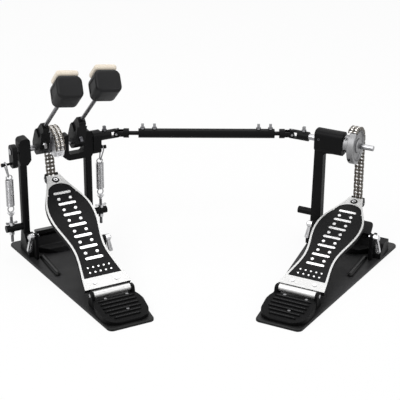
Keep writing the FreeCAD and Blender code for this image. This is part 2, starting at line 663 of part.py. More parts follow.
def sprocket(angle, links, plain_front):
    """Toothed drum for both strands with a collar; one kind has a plain front and a lobe for an end screw."""
    root = PITCH_R - 2.3
    tip = PITCH_R + 0.7
    ring = []
    for i in range(SPROCKET_TEETH):
        for share, r in ((0.18, root), (0.40, tip), (0.60, tip), (0.82, root)):
            a = math.radians((i + share) * TOOTH_ANGLE + tangent_angle(angle))
            ring.append(V(0, r * math.cos(a), AXLE_H + r * math.sin(a)))
    tooth_face = Part.Face(Part.makePolygon(ring + ring[:1]))
    parts = []
    for strand in (-STRAND / 2, STRAND / 2):
        row = tooth_face.copy()
        row.translate(V(strand - 1.1, 0, 0))
        parts.append(row.extrude(V(2.2, 0, 0)))
    parts.append(rod(V(-SPROCKET_HALF, 0, AXLE_H), V(SPROCKET_HALF, 0, AXLE_H), PITCH_R - 3.4))
    parts.append(collar(COLLAR_R[plain_front]))
    if plain_front:
        parts.append(front_sector(tangent_angle(angle) + links * TOOTH_ANGLE + 9))
        lobe = side([(-14, AXLE_H - 20, 0), (14, AXLE_H - 20, 0), (7, AXLE_H - 33, 5), (-7, AXLE_H - 33, 5)],
                    -SPROCKET_HALF, SPROCKET_HALF)
        parts.append(lobe)
    wheel = joined(parts)
    if plain_front:
        wheel = wheel.cut(rod(V(-5, -40, AXLE_H - 28), V(-5, -4, AXLE_H - 28), 1.7))
    else:
        wheel = wheel.cut(block(-20, 20, -40, 40, AXLE_H - 60, AXLE_H - SPROCKET_FLAT))
    return wheel.cut(rod(V(-30, 0, AXLE_H), V(30, 0, AXLE_H), AXLE_R + 0.01))


def collar(r):
    """Smooth collar beside the teeth with two radial holes for its set screws."""
    ring = rod(V(-15.6, 0, AXLE_H), V(-STRAND, 0, AXLE_H), r)
    for a in (math.radians(143), math.radians(217)):
        out = V(0, math.cos(a), math.sin(a))
        middle = V(-12, 0, AXLE_H)
        ring = ring.cut(rod(middle + out * 10, middle + out * 20, 1.6))
    return ring


def front_sector(first):
    """Plain rim on the drummer's side, from an angle down to the lobe."""
    last = 265.0
    wedge = [(0, AXLE_H, 0)]
    for a in (first, (first + last) / 2, last):
        wedge.append((60 * math.cos(math.radians(a)), AXLE_H + 60 * math.sin(math.radians(a)), 0))
    disc = rod(V(-SPROCKET_HALF, 0, AXLE_H), V(SPROCKET_HALF, 0, AXLE_H), PITCH_R + 1.6)
    return disc.common(side(wedge, -20, 20))


# Axles, hubs, beaters, spring cams

def axle(u0, u1):
    return rod(V(u0, 0, AXLE_H), V(u1, 0, AXLE_H), AXLE_R)


def upright(shape):
    """Lean an axle piece that was drawn with its beater upright back to the rest position."""
    return turned(shape, AXLE, U_AXIS, LEAN)


def hub(u0, u1):
    """Beater holder: round boss on the axle and a tapered tower with the beater's bore."""
    o = BEATER_OFFSET
    tower = side([(-12, AXLE_H - 12, 11.5), (12, AXLE_H - 12, 11.5), (o + 8, AXLE_H + 18, 8),
                  (o + 7, AXLE_H + 52, 4), (o - 7, AXLE_H + 52, 4), (-12, AXLE_H + 15, 10)], u0, u1)
    mid = (u0 + u1) / 2
    waist = [block(u0 - 1, u0 + HUB_WAIST, o - 9.9, o + 30, AXLE_H + 26, AXLE_H + 60),
             block(u1 - HUB_WAIST, u1 + 1, o - 9.9, o + 30, AXLE_H + 26, AXLE_H + 60)]
    tower = tower.cut(group(waist))
    tower = tower.cut(rod(V(u0 - 5, 0, AXLE_H), V(u1 + 5, 0, AXLE_H), AXLE_R + 0.01))
    tower = tower.cut(rod(V(mid, o, AXLE_H - 30), V(mid, o, AXLE_H + 80), SHAFT_R + FIT))
    tower = tower.cut(rod(V(mid, -40, KEY_H), V(mid, o, KEY_H), KEY_R + 0.02))
    tower = tower.cut(rod(V(mid, -40, KEY_H), V(mid, KEY_SEAT, KEY_H), KEY_COLLAR_R + 0.1))
    return upright(tower)


def key_screw(base, along, length):
    """Square-headed key screw: shank from base, collar and square head."""
    tip = base + along * length
    shank = rod(base, tip + along * 0.5, KEY_R)
    collar = rod(tip, tip + along * 2.2, KEY_COLLAR_R)
    turn = FreeCAD.Rotation(V(0, 0, 1), along)
    head = Part.makeBox(4.6, 4.6, 6.0, V(-2.3, -2.3, 0))
    head.Placement = FreeCAD.Placement(tip + along * 2.0, turn)
    return joined([shank, collar, head])


def hub_screw(u0, u1):
    """Key screw that holds the beater, on the drummer's side of the hub."""
    mid = (u0 + u1) / 2
    base = V(mid, BEATER_OFFSET - SHAFT_R - 0.1, KEY_H)
    return upright(key_screw(base, V(0, -1, 0), base.y - KEY_SEAT))


def beater_shaft(u0, u1):
    mid = (u0 + u1) / 2
    foot_end = V(mid, BEATER_OFFSET, AXLE_H + 2)
    return upright(rod(foot_end, V(mid, BEATER_OFFSET, AXLE_H + HEAD_DIST + 10), SHAFT_R))


def beater_head(u0, u1):
    """Moulded head with round edges along the shaft, softer ends and the shaft's blind bore."""
    mid = (u0 + u1) / 2
    wide, tall, deep = HEAD
    middle = V(mid, BEATER_OFFSET, AXLE_H + HEAD_DIST)
    body = Part.makeBox(wide, deep, tall, middle - V(wide / 2, deep / 2, tall / 2))
    body = body.makeFillet(HEAD_ROUND[0], [e for e in body.Edges if e.BoundBox.ZLength > tall - 0.01])
    body = body.makeFillet(HEAD_ROUND[1], [e for e in body.Edges if e.BoundBox.ZLength < 0.01])
    bore = rod(middle - V(0, 0, 40), middle + V(0, 0, 10.2), SHAFT_R + 0.01)
    return upright(turned(body.cut(bore), middle, W_AXIS, HEAD_TURN))


def beater_felt(u0, u1):
    """Felt pad on the drum face of the head."""
    mid = (u0 + u1) / 2
    wide, tall, deep = HEAD
    face = BEATER_OFFSET + deep / 2 + 0.02
    corner = V(mid - wide / 2 + 3, face, AXLE_H + HEAD_DIST - tall / 2 + 3)
    pad = Part.makeBox(wide - 6, FELT_T, tall - 6, corner)
    corners = [e for e in pad.Edges if e.BoundBox.YLength > FELT_T - 0.01]
    pad = pad.makeFillet(6, corners)
    far = [e for e in pad.Edges if e.BoundBox.YMin > face + FELT_T - 0.01]
    pad = pad.makeFillet(3.5, far)
    return upright(turned(pad, V(mid, BEATER_OFFSET, 0), W_AXIS, HEAD_TURN))


def spring_cam(sign):
    """Rocker on the axle's outer end with the stud that carries the spring."""
    u0, u1 = CAM_RIGHT if sign > 0 else CAM_LEFT
    arm = side([(-11, AXLE_H + 11, 9), (11, AXLE_H + 11, 9), (9, AXLE_H - STUD_DROP - 7, 6),
                (-9, AXLE_H - STUD_DROP - 7, 6)], u0, u1)
    arm = arm.cut(rod(V(u0 - 5, 0, AXLE_H), V(u1 + 5, 0, AXLE_H), AXLE_R + 0.01))
    stud = rod(V(u0 + 2, 0, AXLE_H - STUD_DROP), V(92, 0, AXLE_H - STUD_DROP), 2.0)
    knob = rod(V(88.4, 0, AXLE_H - STUD_DROP), V(92, 0, AXLE_H - STUD_DROP), 3.2)
    cam = joined([arm, stud, knob])
    return cam if sign > 0 else mirrored(cam)


# Return spring and its rod

def spring_link(sign):
    """Bent wire link: a wide eye over the cam's stud and a straight leg down to the spring."""
    u = sign * SPRING_U + sign * LINK_OUT
    stud_w = AXLE_H - STUD_DROP
    eye = Part.makeTorus(EYE_R, LINK_WIRE_R, V(u, 0, stud_w - EYE_R + 4.0), U_AXIS)
    bottom = stud_w - 2 * EYE_R + 4.0
    leg = rod(V(u, 0, bottom + 0.6), V(u, 0, SPRING_TOP + 1.0), LINK_WIRE_R)
    plug = Part.makeCone(2.0, COIL_R + WIRE_R, 5.0, V(sign * SPRING_U, 0, SPRING_TOP + 6.0), V(0, 0, -1))
    reach = rod(V(u, 0, SPRING_TOP + 3), V(sign * SPRING_U, 0, SPRING_TOP + 3), LINK_WIRE_R)
    return joined([eye, leg, plug, reach])


def spring(sign):
    """Close-wound tension spring: one wire, a helix made of half-turn arcs."""
    centre_u = sign * SPRING_U
    low = SPRING_BOTTOM + WIRE_R + 0.3
    high = SPRING_TOP - WIRE_R - 0.3
    turns = int((high - low) / COIL_PITCH)
    pitch = (high - low) / turns

    def coil_point(turn):
        a = 2 * math.pi * turn
        return V(centre_u + COIL_R * math.cos(a), COIL_R * math.sin(a), low + pitch * turn)
    arcs = []
    for i in range(2 * turns):
        arcs.append(Part.Arc(coil_point(i / 2), coil_point(i / 2 + 0.25), coil_point(i / 2 + 0.5)).toShape())
    print("spring curls", turns, "least gap", round(least_gap(arcs), 2), "mm")
    first = arcs[0]
    along = first.tangentAt(first.FirstParameter)
    ring = Part.Wire([Part.Circle(coil_point(0), along, WIRE_R).toShape()])
    return Part.Wire(arcs).makePipeShell([ring], True, False)


def least_gap(arcs):
    """Least air between points of the coil that are more than half a turn apart."""
    per_arc = 24
    points = []
    for arc in arcs:
        points += arc.discretize(per_arc + 1)[:-1]
    least = 1000.0
    for i in range(len(points)):
        for j in range(i + per_arc + 1, min(i + 3 * per_arc, len(points))):
            least = min(least, (points[i] - points[j]).Length)
    return least - 2 * WIRE_R


def spring_rod(sign):
    """Lower rod: cup under the spring and a threaded shank down through the lug."""
    u = sign * SPRING_U
    cup = Part.makeCone(2.0, COIL_R + WIRE_R, 6.0, V(u, 0, SPRING_BOTTOM - 6.0), V(0, 0, 1))
    shank = rod(V(u, 0, 26), V(u, 0, SPRING_BOTTOM - 3), ROD_R)
    return joined([cup, shank])


def spring_nuts(sign):
    """Wing nut on top of the lug and the hexagon nut under it."""
    u = sign * SPRING_U
    over = LUG_H + LUG_R + 0.1
    boss = rod(V(u, 0, over), V(u, 0, over + 5), 4.6)
    wings = front([(u - 9.5, over + 2, 1), (u + 9.5, over + 2, 1), (u + 10.5, over + 7, 1.5),
                   (u + 5, over + 5, 0), (u - 5, over + 5, 0), (u - 10.5, over + 7, 1.5)], -1.2, 1.2)
    under = LUG_H - LUG_R - 0.1
    nut = hex_bar(V(u, 0, under - 5), V(u, 0, under), 8.0)
    bore = rod(V(u, 0, 0), V(u, 0, 120), ROD_R + 0.02)
    return group([joined([boss, wings]).cut(bore), nut.cut(bore)])


# Drive shaft between the pedals, drawn along +u from a joint's centre at the origin

def fork(arm_axis, other, along, bore_r):
    """Two fork arms with pin holes, from the sleeve's face to the joint's centre."""
    parts = []
    for sign in (-1, 1):
        inner = arm_axis * (4.6 * sign)
        outer = arm_axis * (YOKE_R * sign)
        eye = rod(inner, outer, 4.4)
        a = inner + other * 4.4
        b = inner - other * 4.4
        back = along * 13.0
        strap = Part.Face(Part.makePolygon([a, b, b + back, a + back, a])).extrude(outer - inner)
        parts += [eye, strap]
    arms = joined(parts)
    limit = rod(along * -6.0, along * 14.0, YOKE_R)
    arms = arms.common(limit)
    return arms.cut(rod(arm_axis * -20, arm_axis * 20, bore_r))


def axle_yoke(along):
    """Fork clamped on an axle, with upright pins; along points from the joint back to the axle."""
    across = V(0, 1, 0)
    arms = fork(W_AXIS, across, along, CROSS_PIN_R + 0.3)
    body = rod(along * 12.0, along * 31.0, YOKE_R)
    shape = joined([arms, body]).cut(rod(along * 12.5, along * 60.0, AXLE_R + 0.01))
    return shape.cut(rod(along * 22.0 + W_AXIS * AXLE_R, along * 22.0 + W_AXIS * 30, KEY_R + 0.02))


def rod_yoke(along, reach):
    """Fork with level pins and the six-sided rod that slides in the tube."""
    across = W_AXIS
    arms = fork(V(0, 1, 0), across, along, CROSS_PIN_R + FIT)
    body = rod(along * 12.0, along * 21.0, YOKE_R)
    bar = hex_bar(along * 20.0, along * reach, ROD_FLATS)
    return joined([arms, body, bar])


def cross():
    """Four-armed cross of a universal joint."""
    core = Part.makeBox(7.6, 7.6, 7.6, V(-3.8, -3.8, -3.8))
    level = rod(V(0, -7.9, 0), V(0, 7.9, 0), CROSS_PIN_R)
    upright_pin = rod(V(0, 0, -7.9), V(0, 0, 7.9), CROSS_PIN_R)
    return joined([core, level, upright_pin])


def tube(length):
    """Drive tube with a six-sided bore, drawn along +u from its left end."""
    body = rod(V(0, 0, 0), V(length, 0, 0), TUBE_R)
    body = body.cut(hex_bar(V(-1, 0, 0), V(length + 1, 0, 0), ROD_FLATS + 2 * FIT))
    holes = [rod(V(u, 0, 3), V(u, 0, 20), KEY_R + 0.02) for u in tube_screw_places(length)]
    return body.cut(group(holes))


def tube_screw_places(length):
    return [7.0, 27.0, length - 27.0, length - 7.0]


def tube_screws(length):
    """Key screws that clamp the rods in the tube, two at each end."""
    screws = []
    for u in tube_screw_places(length):
        screws.append(key_screw(V(u, 0, ROD_FLATS / math.sqrt(3) + 0.2), W_AXIS, TUBE_R - 3.5))
    return group(screws)


# Placing the pieces

def on_main(shape):
    copy = turned(shape, V(0, 0, 0), W_AXIS, YAW)
    copy.translate(V(-HALF_SPAN, 0, 0))
    return copy


def on_remote(shape):
    copy = turned(shape, V(0, 0, 0), W_AXIS, -YAW)
    copy.translate(V(HALF_SPAN, 0, 0))
    return copy


def point_on(place, point):
    """A pedal's own point in the common frame."""
    return place(Part.Vertex(point)).Point


def moved(shape, by):
    copy = shape.copy()
    copy.translate(by)
    return copy


def add(name, shape):
    NODES[name] = shape


def board_set(prefix, place, angle, links, plain_front):
    """Heel plate, hinge, footboard and chain of one pedal."""
    add(prefix + "heel_plate", place(heel_plate()))
    add(prefix + "heel_screws", place(heel_screws()))
    add(prefix + "hinge_pin", place(hinge_pin()))
    add(prefix + "footboard", place(on_board(footboard(), angle)))
    add(prefix + "board_fasteners", place(on_board(toe_fasteners(), angle)))
    add(prefix + "sprocket", place(sprocket(angle, links, plain_front)))
    add(prefix + "chain_wrapped", place(chain_wrapped(angle, links)))
    add(prefix + "chain_hanging", place(chain_hanging(angle)))


def beater_set(prefix, place, span):
    """Hub and beater of one axle."""
    add(prefix + "beater_hub", place(hub(*span)))
    add(prefix + "beater_shaft", place(beater_shaft(*span)))
    add(prefix + "beater_head", place(beater_head(*span)))
    add(prefix + "beater_felt", place(beater_felt(*span)))


def spring_set(prefix, place, sign):
    """Cam, link, spring, rod and nuts on one side of the main pedal."""
    add(prefix + "spring_cam", place(spring_cam(sign)))
    add(prefix + "spring_link", place(spring_link(sign)))
    add(prefix + "spring", place(spring(sign)))
    add(prefix + "spring_nuts", place(spring_nuts(sign)))


def main_pedal():
    add("main_base_plate", on_main(base_plate()))
    add("main_bridge", on_main(bridge()))
    add("main_left_post", on_main(left_post()))
    add("main_right_post", on_main(right_post()))
    add("main_hoop_jaw", on_main(hoop_jaw(MAIN_JAW_TILT)))
    add("main_left_clamp_screw", on_main(clamp_screw(CLAMP_EAR[1], CLAMP_V, CLAMP_W, 46, -1)))
    add("main_right_clamp_screw", on_main(clamp_screw(SIDE_EAR[1], SIDE_CLAMP_V, SIDE_CLAMP_W, 47, 1)))
    board_set("main_", on_main, MAIN_BOARD_ANGLE, MAIN_WRAP, False)
    add("main_axle", on_main(axle(-76.5, 17.0)))
    beater_set("main_", on_main, HUB_MAIN)
    add("main_hub_screw", on_main(hub_screw(*HUB_MAIN)))
    spring_set("main_", on_main, -1)
    add("main_spring_rods", on_main(group([spring_rod(-1), spring_rod(1)])))
    add("second_axle", on_main(axle(17.6, JOINT_U - 13.0)))
    beater_set("second_", on_main, HUB_SECOND)
    spring_set("second_", on_main, 1)
    fork_screw = moved(yoke_screw(V(-1, 0, 0)), V(JOINT_U, 0, AXLE_H))
    add("second_key_screws", on_main(group([hub_screw(*HUB_SECOND), fork_screw])))


def yoke_screw(along):
    """Key screw that clamps a fork on its axle."""
    return key_screw(along * 22.0 + W_AXIS * (AXLE_R + 0.1), W_AXIS, YOKE_R - AXLE_R + 0.2)


def remote_pedal():
    add("remote_base_plate", on_remote(base_plate()))
    add("remote_bridge", on_remote(remote_bridge()))
    add("remote_post", on_remote(remote_post()))
    add("remote_hoop_jaw", on_remote(hoop_jaw(REMOTE_JAW_TILT)))
    add("remote_left_clamp_screw", on_remote(clamp_screw(CLAMP_EAR[1], CLAMP_V, CLAMP_W, 46, -1)))
    add("remote_right_clamp_screw", on_remote(clamp_screw(CLAMP_EAR[1], CLAMP_V, CLAMP_W, 46, 1)))
    board_set("remote_", on_remote, REMOTE_BOARD_ANGLE, REMOTE_WRAP, True)
    shoulder = SPROCKET_HALF + 0.4
    bare = rod(V(shoulder - 1, 0, AXLE_H), V(REMOTE_AXLE_END, 0, AXLE_H), AXLE_TIP_R)
    add("remote_axle", on_remote(joined([axle(13.0 - JOINT_U, shoulder), bare])))
    fork_screw = moved(yoke_screw(V(1, 0, 0)), V(-JOINT_U, 0, AXLE_H))
    add("remote_fork_screw", on_remote(fork_screw))


def drive_shaft():
    """Two universal joints and the telescoping shaft between them."""
    main_joint = point_on(on_main, V(JOINT_U, 0, AXLE_H))
    remote_joint = point_on(on_remote, V(-JOINT_U, 0, AXLE_H))
    span = remote_joint.x - main_joint.x
    length = span - TUBE_START - TUBE_STOP
    add("main_axle_fork", on_main(moved(axle_yoke(V(-1, 0, 0)), V(JOINT_U, 0, AXLE_H))))
    add("remote_axle_fork", on_remote(moved(axle_yoke(V(1, 0, 0)), V(-JOINT_U, 0, AXLE_H))))
    add("main_joint_cross", moved(cross(), main_joint))
    add("remote_joint_cross", moved(cross(), remote_joint))
    add("main_drive_rod", moved(rod_yoke(V(1, 0, 0), TUBE_START + 45), main_joint))
    add("remote_drive_rod", moved(rod_yoke(V(-1, 0, 0), TUBE_STOP + 90), remote_joint))
    start = main_joint + V(TUBE_START, 0, 0)
    add("drive_tube", moved(tube(length), start))
    add("tube_key_screws", moved(tube_screws(length), start))


def build():
    """Make every node and put the common origin under the middle of the whole set."""
    main_pedal()
    remote_pedal()
    drive_shaft()
    box = Part.makeCompound(list(NODES.values())).BoundBox
    shift = V(-(box.XMin + box.XMax) / 2, -(box.YMin + box.YMax) / 2, -box.ZMin)
    for name, shape in NODES.items():
        shape.translate(shift)
    return shift


SHIFT = build()
for node, solid in NODES.items():
    solid.exportStep("parts/" + node + ".step")
print(len(NODES), "nodes, shift", SHIFT)
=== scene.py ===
# %% [markdown]
# A double bass drum pedal: a main pedal with two beaters on the left, a remote pedal for the other
# foot on the right, and a drive shaft between them.  The solids come from the CAD frame.  This lesson
# gives them their finishes and adds the small pieces that a solid model leaves out.  The solids' meshes
# are never changed, so the box that they fill is measured first.

# %% Load the frame
import math
import bmesh
import bpy
from mathutils import Matrix, Vector


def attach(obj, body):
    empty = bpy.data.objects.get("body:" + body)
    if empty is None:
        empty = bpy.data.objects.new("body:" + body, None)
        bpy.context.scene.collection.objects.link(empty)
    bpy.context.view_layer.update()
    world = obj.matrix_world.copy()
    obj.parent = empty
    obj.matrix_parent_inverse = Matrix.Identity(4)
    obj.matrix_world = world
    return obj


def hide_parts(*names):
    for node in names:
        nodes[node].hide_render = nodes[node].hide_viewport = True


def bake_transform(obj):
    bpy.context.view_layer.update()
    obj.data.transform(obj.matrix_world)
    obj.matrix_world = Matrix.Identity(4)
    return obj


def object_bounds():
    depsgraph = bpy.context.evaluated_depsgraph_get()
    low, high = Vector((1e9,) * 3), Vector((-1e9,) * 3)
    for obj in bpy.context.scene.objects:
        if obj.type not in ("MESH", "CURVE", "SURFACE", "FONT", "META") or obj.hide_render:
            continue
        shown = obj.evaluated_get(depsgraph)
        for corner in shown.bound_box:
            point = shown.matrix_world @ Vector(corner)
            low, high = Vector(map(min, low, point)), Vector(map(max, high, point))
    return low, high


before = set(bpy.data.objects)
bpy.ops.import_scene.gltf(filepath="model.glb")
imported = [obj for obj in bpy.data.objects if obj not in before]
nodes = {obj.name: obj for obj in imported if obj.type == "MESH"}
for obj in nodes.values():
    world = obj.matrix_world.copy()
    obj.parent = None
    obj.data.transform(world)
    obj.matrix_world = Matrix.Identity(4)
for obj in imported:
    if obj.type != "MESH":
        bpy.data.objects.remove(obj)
cad_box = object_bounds()
scene = bpy.context.scene
scene.view_settings.view_transform = "Standard"
low, high = [[round(c, 3) for c in corner] for corner in cad_box]
print(len(nodes), "solids, from", low, "to", high)

# %% [markdown]
# The picture was taken from the drummer's side with a long lens, a little above the beaters.  A camera
# could follow a target with a constraint, but that leaves no say in its roll.  So it is turned in three
# steps: towards the object, down to it, and a touch about its own view line.

# %% Camera
PICTURE = 400
FOCAL_PIXELS = 1268.2
EYE = (-0.0203, -1.8228, 0.9683)
EYE_TURN = -0.434
EYE_DOWN = 22.736
EYE_ROLL = 0.376
camera_data = bpy.data.cameras.new("camera")
camera_data.sensor_width = 36.0
camera_data.lens = FOCAL_PIXELS * camera_data.sensor_width / PICTURE
camera_data.shift_y = -0.10
camera_data.clip_end = 50.0
camera = bpy.data.objects.new("camera", camera_data)
turn = Matrix.Rotation(math.radians(EYE_TURN), 4, "Z")
tip = Matrix.Rotation(math.radians(90 - EYE_DOWN), 4, "X")
roll = Matrix.Rotation(math.radians(EYE_ROLL), 4, "Z")
camera.matrix_world = Matrix.Translation(EYE) @ turn @ tip @ roll
scene.collection.objects.link(camera)
scene.camera = camera
print("lens", round(camera_data.lens, 1), "mm")

# %% [markdown]
# A catalogue picture has a white ground with hardly any shadow.  A white world alone would do, but then
# the pedals would float.  So the floor is a real white surface that takes the shadow, and the camera sees
# it mixed with plain white, which leaves only a trace of the shadow.

# %% Floor
FLOOR_HALF = 6.0
PLAIN_WHITE_SHARE = 0.9
floor_mesh = bpy.data.meshes.new("floor")
floor_form = bmesh.new()
bmesh.ops.create_grid(floor_form, x_segments=1, y_segments=1, size=FLOOR_HALF)
floor_form.to_mesh(floor_mesh)
floor_form.free()
floor = bpy.data.objects.new("floor", floor_mesh)
scene.collection.objects.link(floor)

paper = bpy.data.materials.new("white_paper")
paper.use_nodes = True
paper_tree = paper.node_tree
paper_shader = paper_tree.nodes["Principled BSDF"]
paper_shader.inputs["Base Color"].default_value = (0.9, 0.9, 0.9, 1)
paper_shader.inputs["Roughness"].default_value = 0.9
paper_glow = paper_tree.nodes.new("ShaderNodeEmission")
paper_path = paper_tree.nodes.new("ShaderNodeLightPath")
paper_share = paper_tree.nodes.new("ShaderNodeMath")
paper_share.operation = "MULTIPLY"
paper_share.inputs[1].default_value = PLAIN_WHITE_SHARE
paper_mix = paper_tree.nodes.new("ShaderNodeMixShader")
paper_tree.links.new(paper_path.outputs["Is Camera Ray"], paper_share.inputs[0])
paper_tree.links.new(paper_share.outputs[0], paper_mix.inputs[0])
paper_tree.links.new(paper_shader.outputs[0], paper_mix.inputs[1])
paper_tree.links.new(paper_glow.outputs[0], paper_mix.inputs[2])
paper_tree.links.new(paper_mix.outputs[0], paper_tree.nodes["Material Output"].inputs["Surface"])
floor_mesh.materials.append(paper)
print("floor", len(floor_mesh.polygons), "face")

# %% [markdown]
# Black paint lives from what it reflects.  A picture of a studio could be wrapped round the scene, but
# plain nodes need no file.  The world is white to the camera and to shiny metal, and weaker as a lamp, so
# that the blacks stay deep.  Three soft lamps draw the edges.

# %% World and lamps
LAMP_SHARE = 0.45
LAMPS_LOOK_AT = Vector((0, 0, 0.12))
world = bpy.data.worlds.new("studio")
scene.world = world
world.use_nodes = True
sky = world.node_tree
seen = sky.nodes.new("ShaderNodeLightPath")
white = seen.outputs["Is Camera Ray"]
for ray in ("Is Glossy Ray", "Is Transmission Ray"):
    either = sky.nodes.new("ShaderNodeMath")
    either.operation = "MAXIMUM"
    sky.links.new(white, either.inputs[0])
    sky.links.new(seen.outputs[ray], either.inputs[1])
    white = either.outputs[0]
bright = sky.nodes.new("ShaderNodeMapRange")
bright.inputs["To Min"].default_value = LAMP_SHARE
bright.inputs["To Max"].default_value = 1.0
sky.links.new(white, bright.inputs["Value"])
sky.links.new(bright.outputs[0], sky.nodes["Background"].inputs["Strength"])
sky.nodes["Background"].inputs["Color"].default_value = (1, 1, 1, 1)


def soft_lamp(name, place, size, watts):
    """Square area lamp that looks at the middle of the object."""
    data = bpy.data.lights.new(name, "AREA")
    data.size = size
    data.energy = watts
    lamp = bpy.data.objects.new(name, data)
    aim = (LAMPS_LOOK_AT - Vector(place)).to_track_quat("-Z", "Y")
    lamp.matrix_world = Matrix.Translation(place) @ aim.to_matrix().to_4x4()
    scene.collection.objects.link(lamp)


soft_lamp("key_lamp", (-1.4, -1.2, 1.9), 1.2, 26)
soft_lamp("fill_lamp", (1.6, -1.0, 1.5), 1.2, 10)
soft_lamp("top_lamp", (0.0, 0.6, 2.0), 1.4, 16)

# %% [markdown]
# Each pedal was drawn in its own frame: u to the right, v towards the drum, w up, in millimetres.  A
# matrix takes such a point to the common frame in metres, and a second one does so for the footboard,
# whose own frame starts at the hinge.  Places could be typed in metres straight away, but on a turned
# pedal such numbers say little.  This way new pieces are made with the sizes of a drawing.

# %% Where the pedals stand
YAW = 27.1
HALF_SPAN = 247.0
MIDDLE = (1.355, 109.421, 0.0)
AXLE_H = 186.0
HINGE = (0.0, -226.0, 23.0)
BOARD_TOP = -2.0
TO_METRES = Matrix.Scale(0.001, 4)


def pedal_place(side, yaw):
    """Matrix from a pedal's own frame to the common one."""
    here = Matrix.Translation((MIDDLE[0] + side * HALF_SPAN, MIDDLE[1], 0))
    return TO_METRES @ here @ Matrix.Rotation(math.radians(yaw), 4, "Z")


PEDALS = {"main": pedal_place(-1, YAW), "remote": pedal_place(1, -YAW)}
BOARD_ANGLE = {"main": 24.2, "remote": 13.4}
BOARD_LENGTH = 258.0
SHAFT_LEAN = 48.0
BOARDS = {}
for name, place in PEDALS.items():
    rise = Matrix.Rotation(math.radians(BOARD_ANGLE[name]), 4, "X")
    BOARDS[name] = place @ Matrix.Translation(HINGE) @ rise
    print(name, "toe at", [round(c, 3) for c in BOARDS[name] @ Vector((0, BOARD_LENGTH, BOARD_TOP))])
LEAN = Matrix.Translation((0, 0, AXLE_H)) @ Matrix.Rotation(math.radians(SHAFT_LEAN), 4, "X")

# %% [markdown]
# All finishes start from one shader.  Their nodes could be laid out by hand in the editor, but then each
# one would be drawn again and again.  A few helpers keep them short: noise gives grain, a mix gives two
# colours, a bump gives relief, and a mapping reads a place in a pedal's own frame.

# %% Helpers for finishes
MM_TO_THE_METRE = 1000.0


def new_finish(name, colour, metallic, roughness, mirror=0.5):
    """Material with one shader and the object's own coordinates; mirror sets the gloss of a paint."""
    finish = bpy.data.materials.new(name)
    finish.use_nodes = True
    tree = finish.node_tree
    shader = tree.nodes["Principled BSDF"]
    shader.inputs["Base Color"].default_value = (*colour, 1)
    shader.inputs["Metallic"].default_value = metallic
    shader.inputs["Roughness"].default_value = roughness
    shader.inputs["Specular IOR Level"].default_value = mirror
    coords = tree.nodes.new("ShaderNodeTexCoord").outputs["Object"]
    return finish, tree, shader, coords


def grain(tree, coords, scale, detail=4.0):
    """Noise with so many waves to the metre."""
    node = tree.nodes.new("ShaderNodeTexNoise")
    node.inputs["Scale"].default_value = scale
    node.inputs["Detail"].default_value = detail
    tree.links.new(coords, node.inputs["Vector"])
    return node.outputs["Fac"]


def spread(tree, value, low, high, start=0.3, stop=0.7):
    """Carry a value from one range to another."""
    node = tree.nodes.new("ShaderNodeMapRange")
    node.inputs["From Min"].default_value = start
    node.inputs["From Max"].default_value = stop
    node.inputs["To Min"].default_value = low
    node.inputs["To Max"].default_value = high
    tree.links.new(value, node.inputs["Value"])
    return node.outputs[0]


def reckon(tree, operation, first, second):
    """One step of arithmetic between a value and a value or number."""
    node = tree.nodes.new("ShaderNodeMath")
    node.operation = operation
    for socket, value in zip(node.inputs, (first, second)):
        if isinstance(value, (int, float)):
            socket.default_value = value
        else:
            tree.links.new(value, socket)
    return node.outputs[0]


def apart(tree, value, place):
    """How far a value lies from a place, to either side."""
    return reckon(tree, "ABSOLUTE", reckon(tree, "SUBTRACT", value, place), 0)


def slant(tree, first, second):
    """Straight distance made by two distances at right angles."""
    squares = [reckon(tree, "MULTIPLY", side, side) for side in (first, second)]
    return reckon(tree, "SQRT", reckon(tree, "ADD", *squares), 0)


def two_colours(tree, share, first, second):
    """Mix of two colours; a colour is three numbers or another node's output."""
    node = tree.nodes.new("ShaderNodeMix")
    node.data_type = "RGBA"
    # The colour sockets of this node are its inputs 6 and 7 and its output 2.
    for socket, value in ((node.inputs[6], first), (node.inputs[7], second)):
        if isinstance(value, tuple):
            socket.default_value = (*value, 1)
        else:
            tree.links.new(value, socket)
    tree.links.new(share, node.inputs[0])
    return node.outputs[2]


def relief(tree, shader, height, strength, distance):
    """Small bumps, distance in metres."""
    node = tree.nodes.new("ShaderNodeBump")
    node.inputs["Strength"].default_value = strength
    node.inputs["Distance"].default_value = distance
    tree.links.new(height, node.inputs["Height"])
    tree.links.new(node.outputs[0], shader.inputs["Normal"])


def own_frame(tree, coords, place):
    """Coordinates in a pedal's or board's frame, in millimetres, as three separate values."""
    back = place.inverted()
    node = tree.nodes.new("ShaderNodeMapping")
    node.inputs["Scale"].default_value = [MM_TO_THE_METRE] * 3
    node.inputs["Rotation"].default_value = back.to_euler()
    node.inputs["Location"].default_value = back.translation
    tree.links.new(coords, node.inputs["Vector"])
    split = tree.nodes.new("ShaderNodeSeparateXYZ")
    tree.links.new(node.outputs[0], split.inputs[0])
    return split.outputs[0], split.outputs[1], split.outputs[2]


print("helpers ready")

# %% [markdown]
# The castings have a black powder coat.  One flat black would look like a hole in the picture, and a
# photographed paint would need a file and an unwrapped mesh.  Noise is enough: melted powder leaves a fine
# skin like an orange's, which is a bump, and handling polishes and pales the coat in patches.

# %% Black powder coat
DEEP_BLACK = (0.003, 0.003, 0.0033)
PATCH_WAVES = 14.0
SKIN_WAVES = 900.0


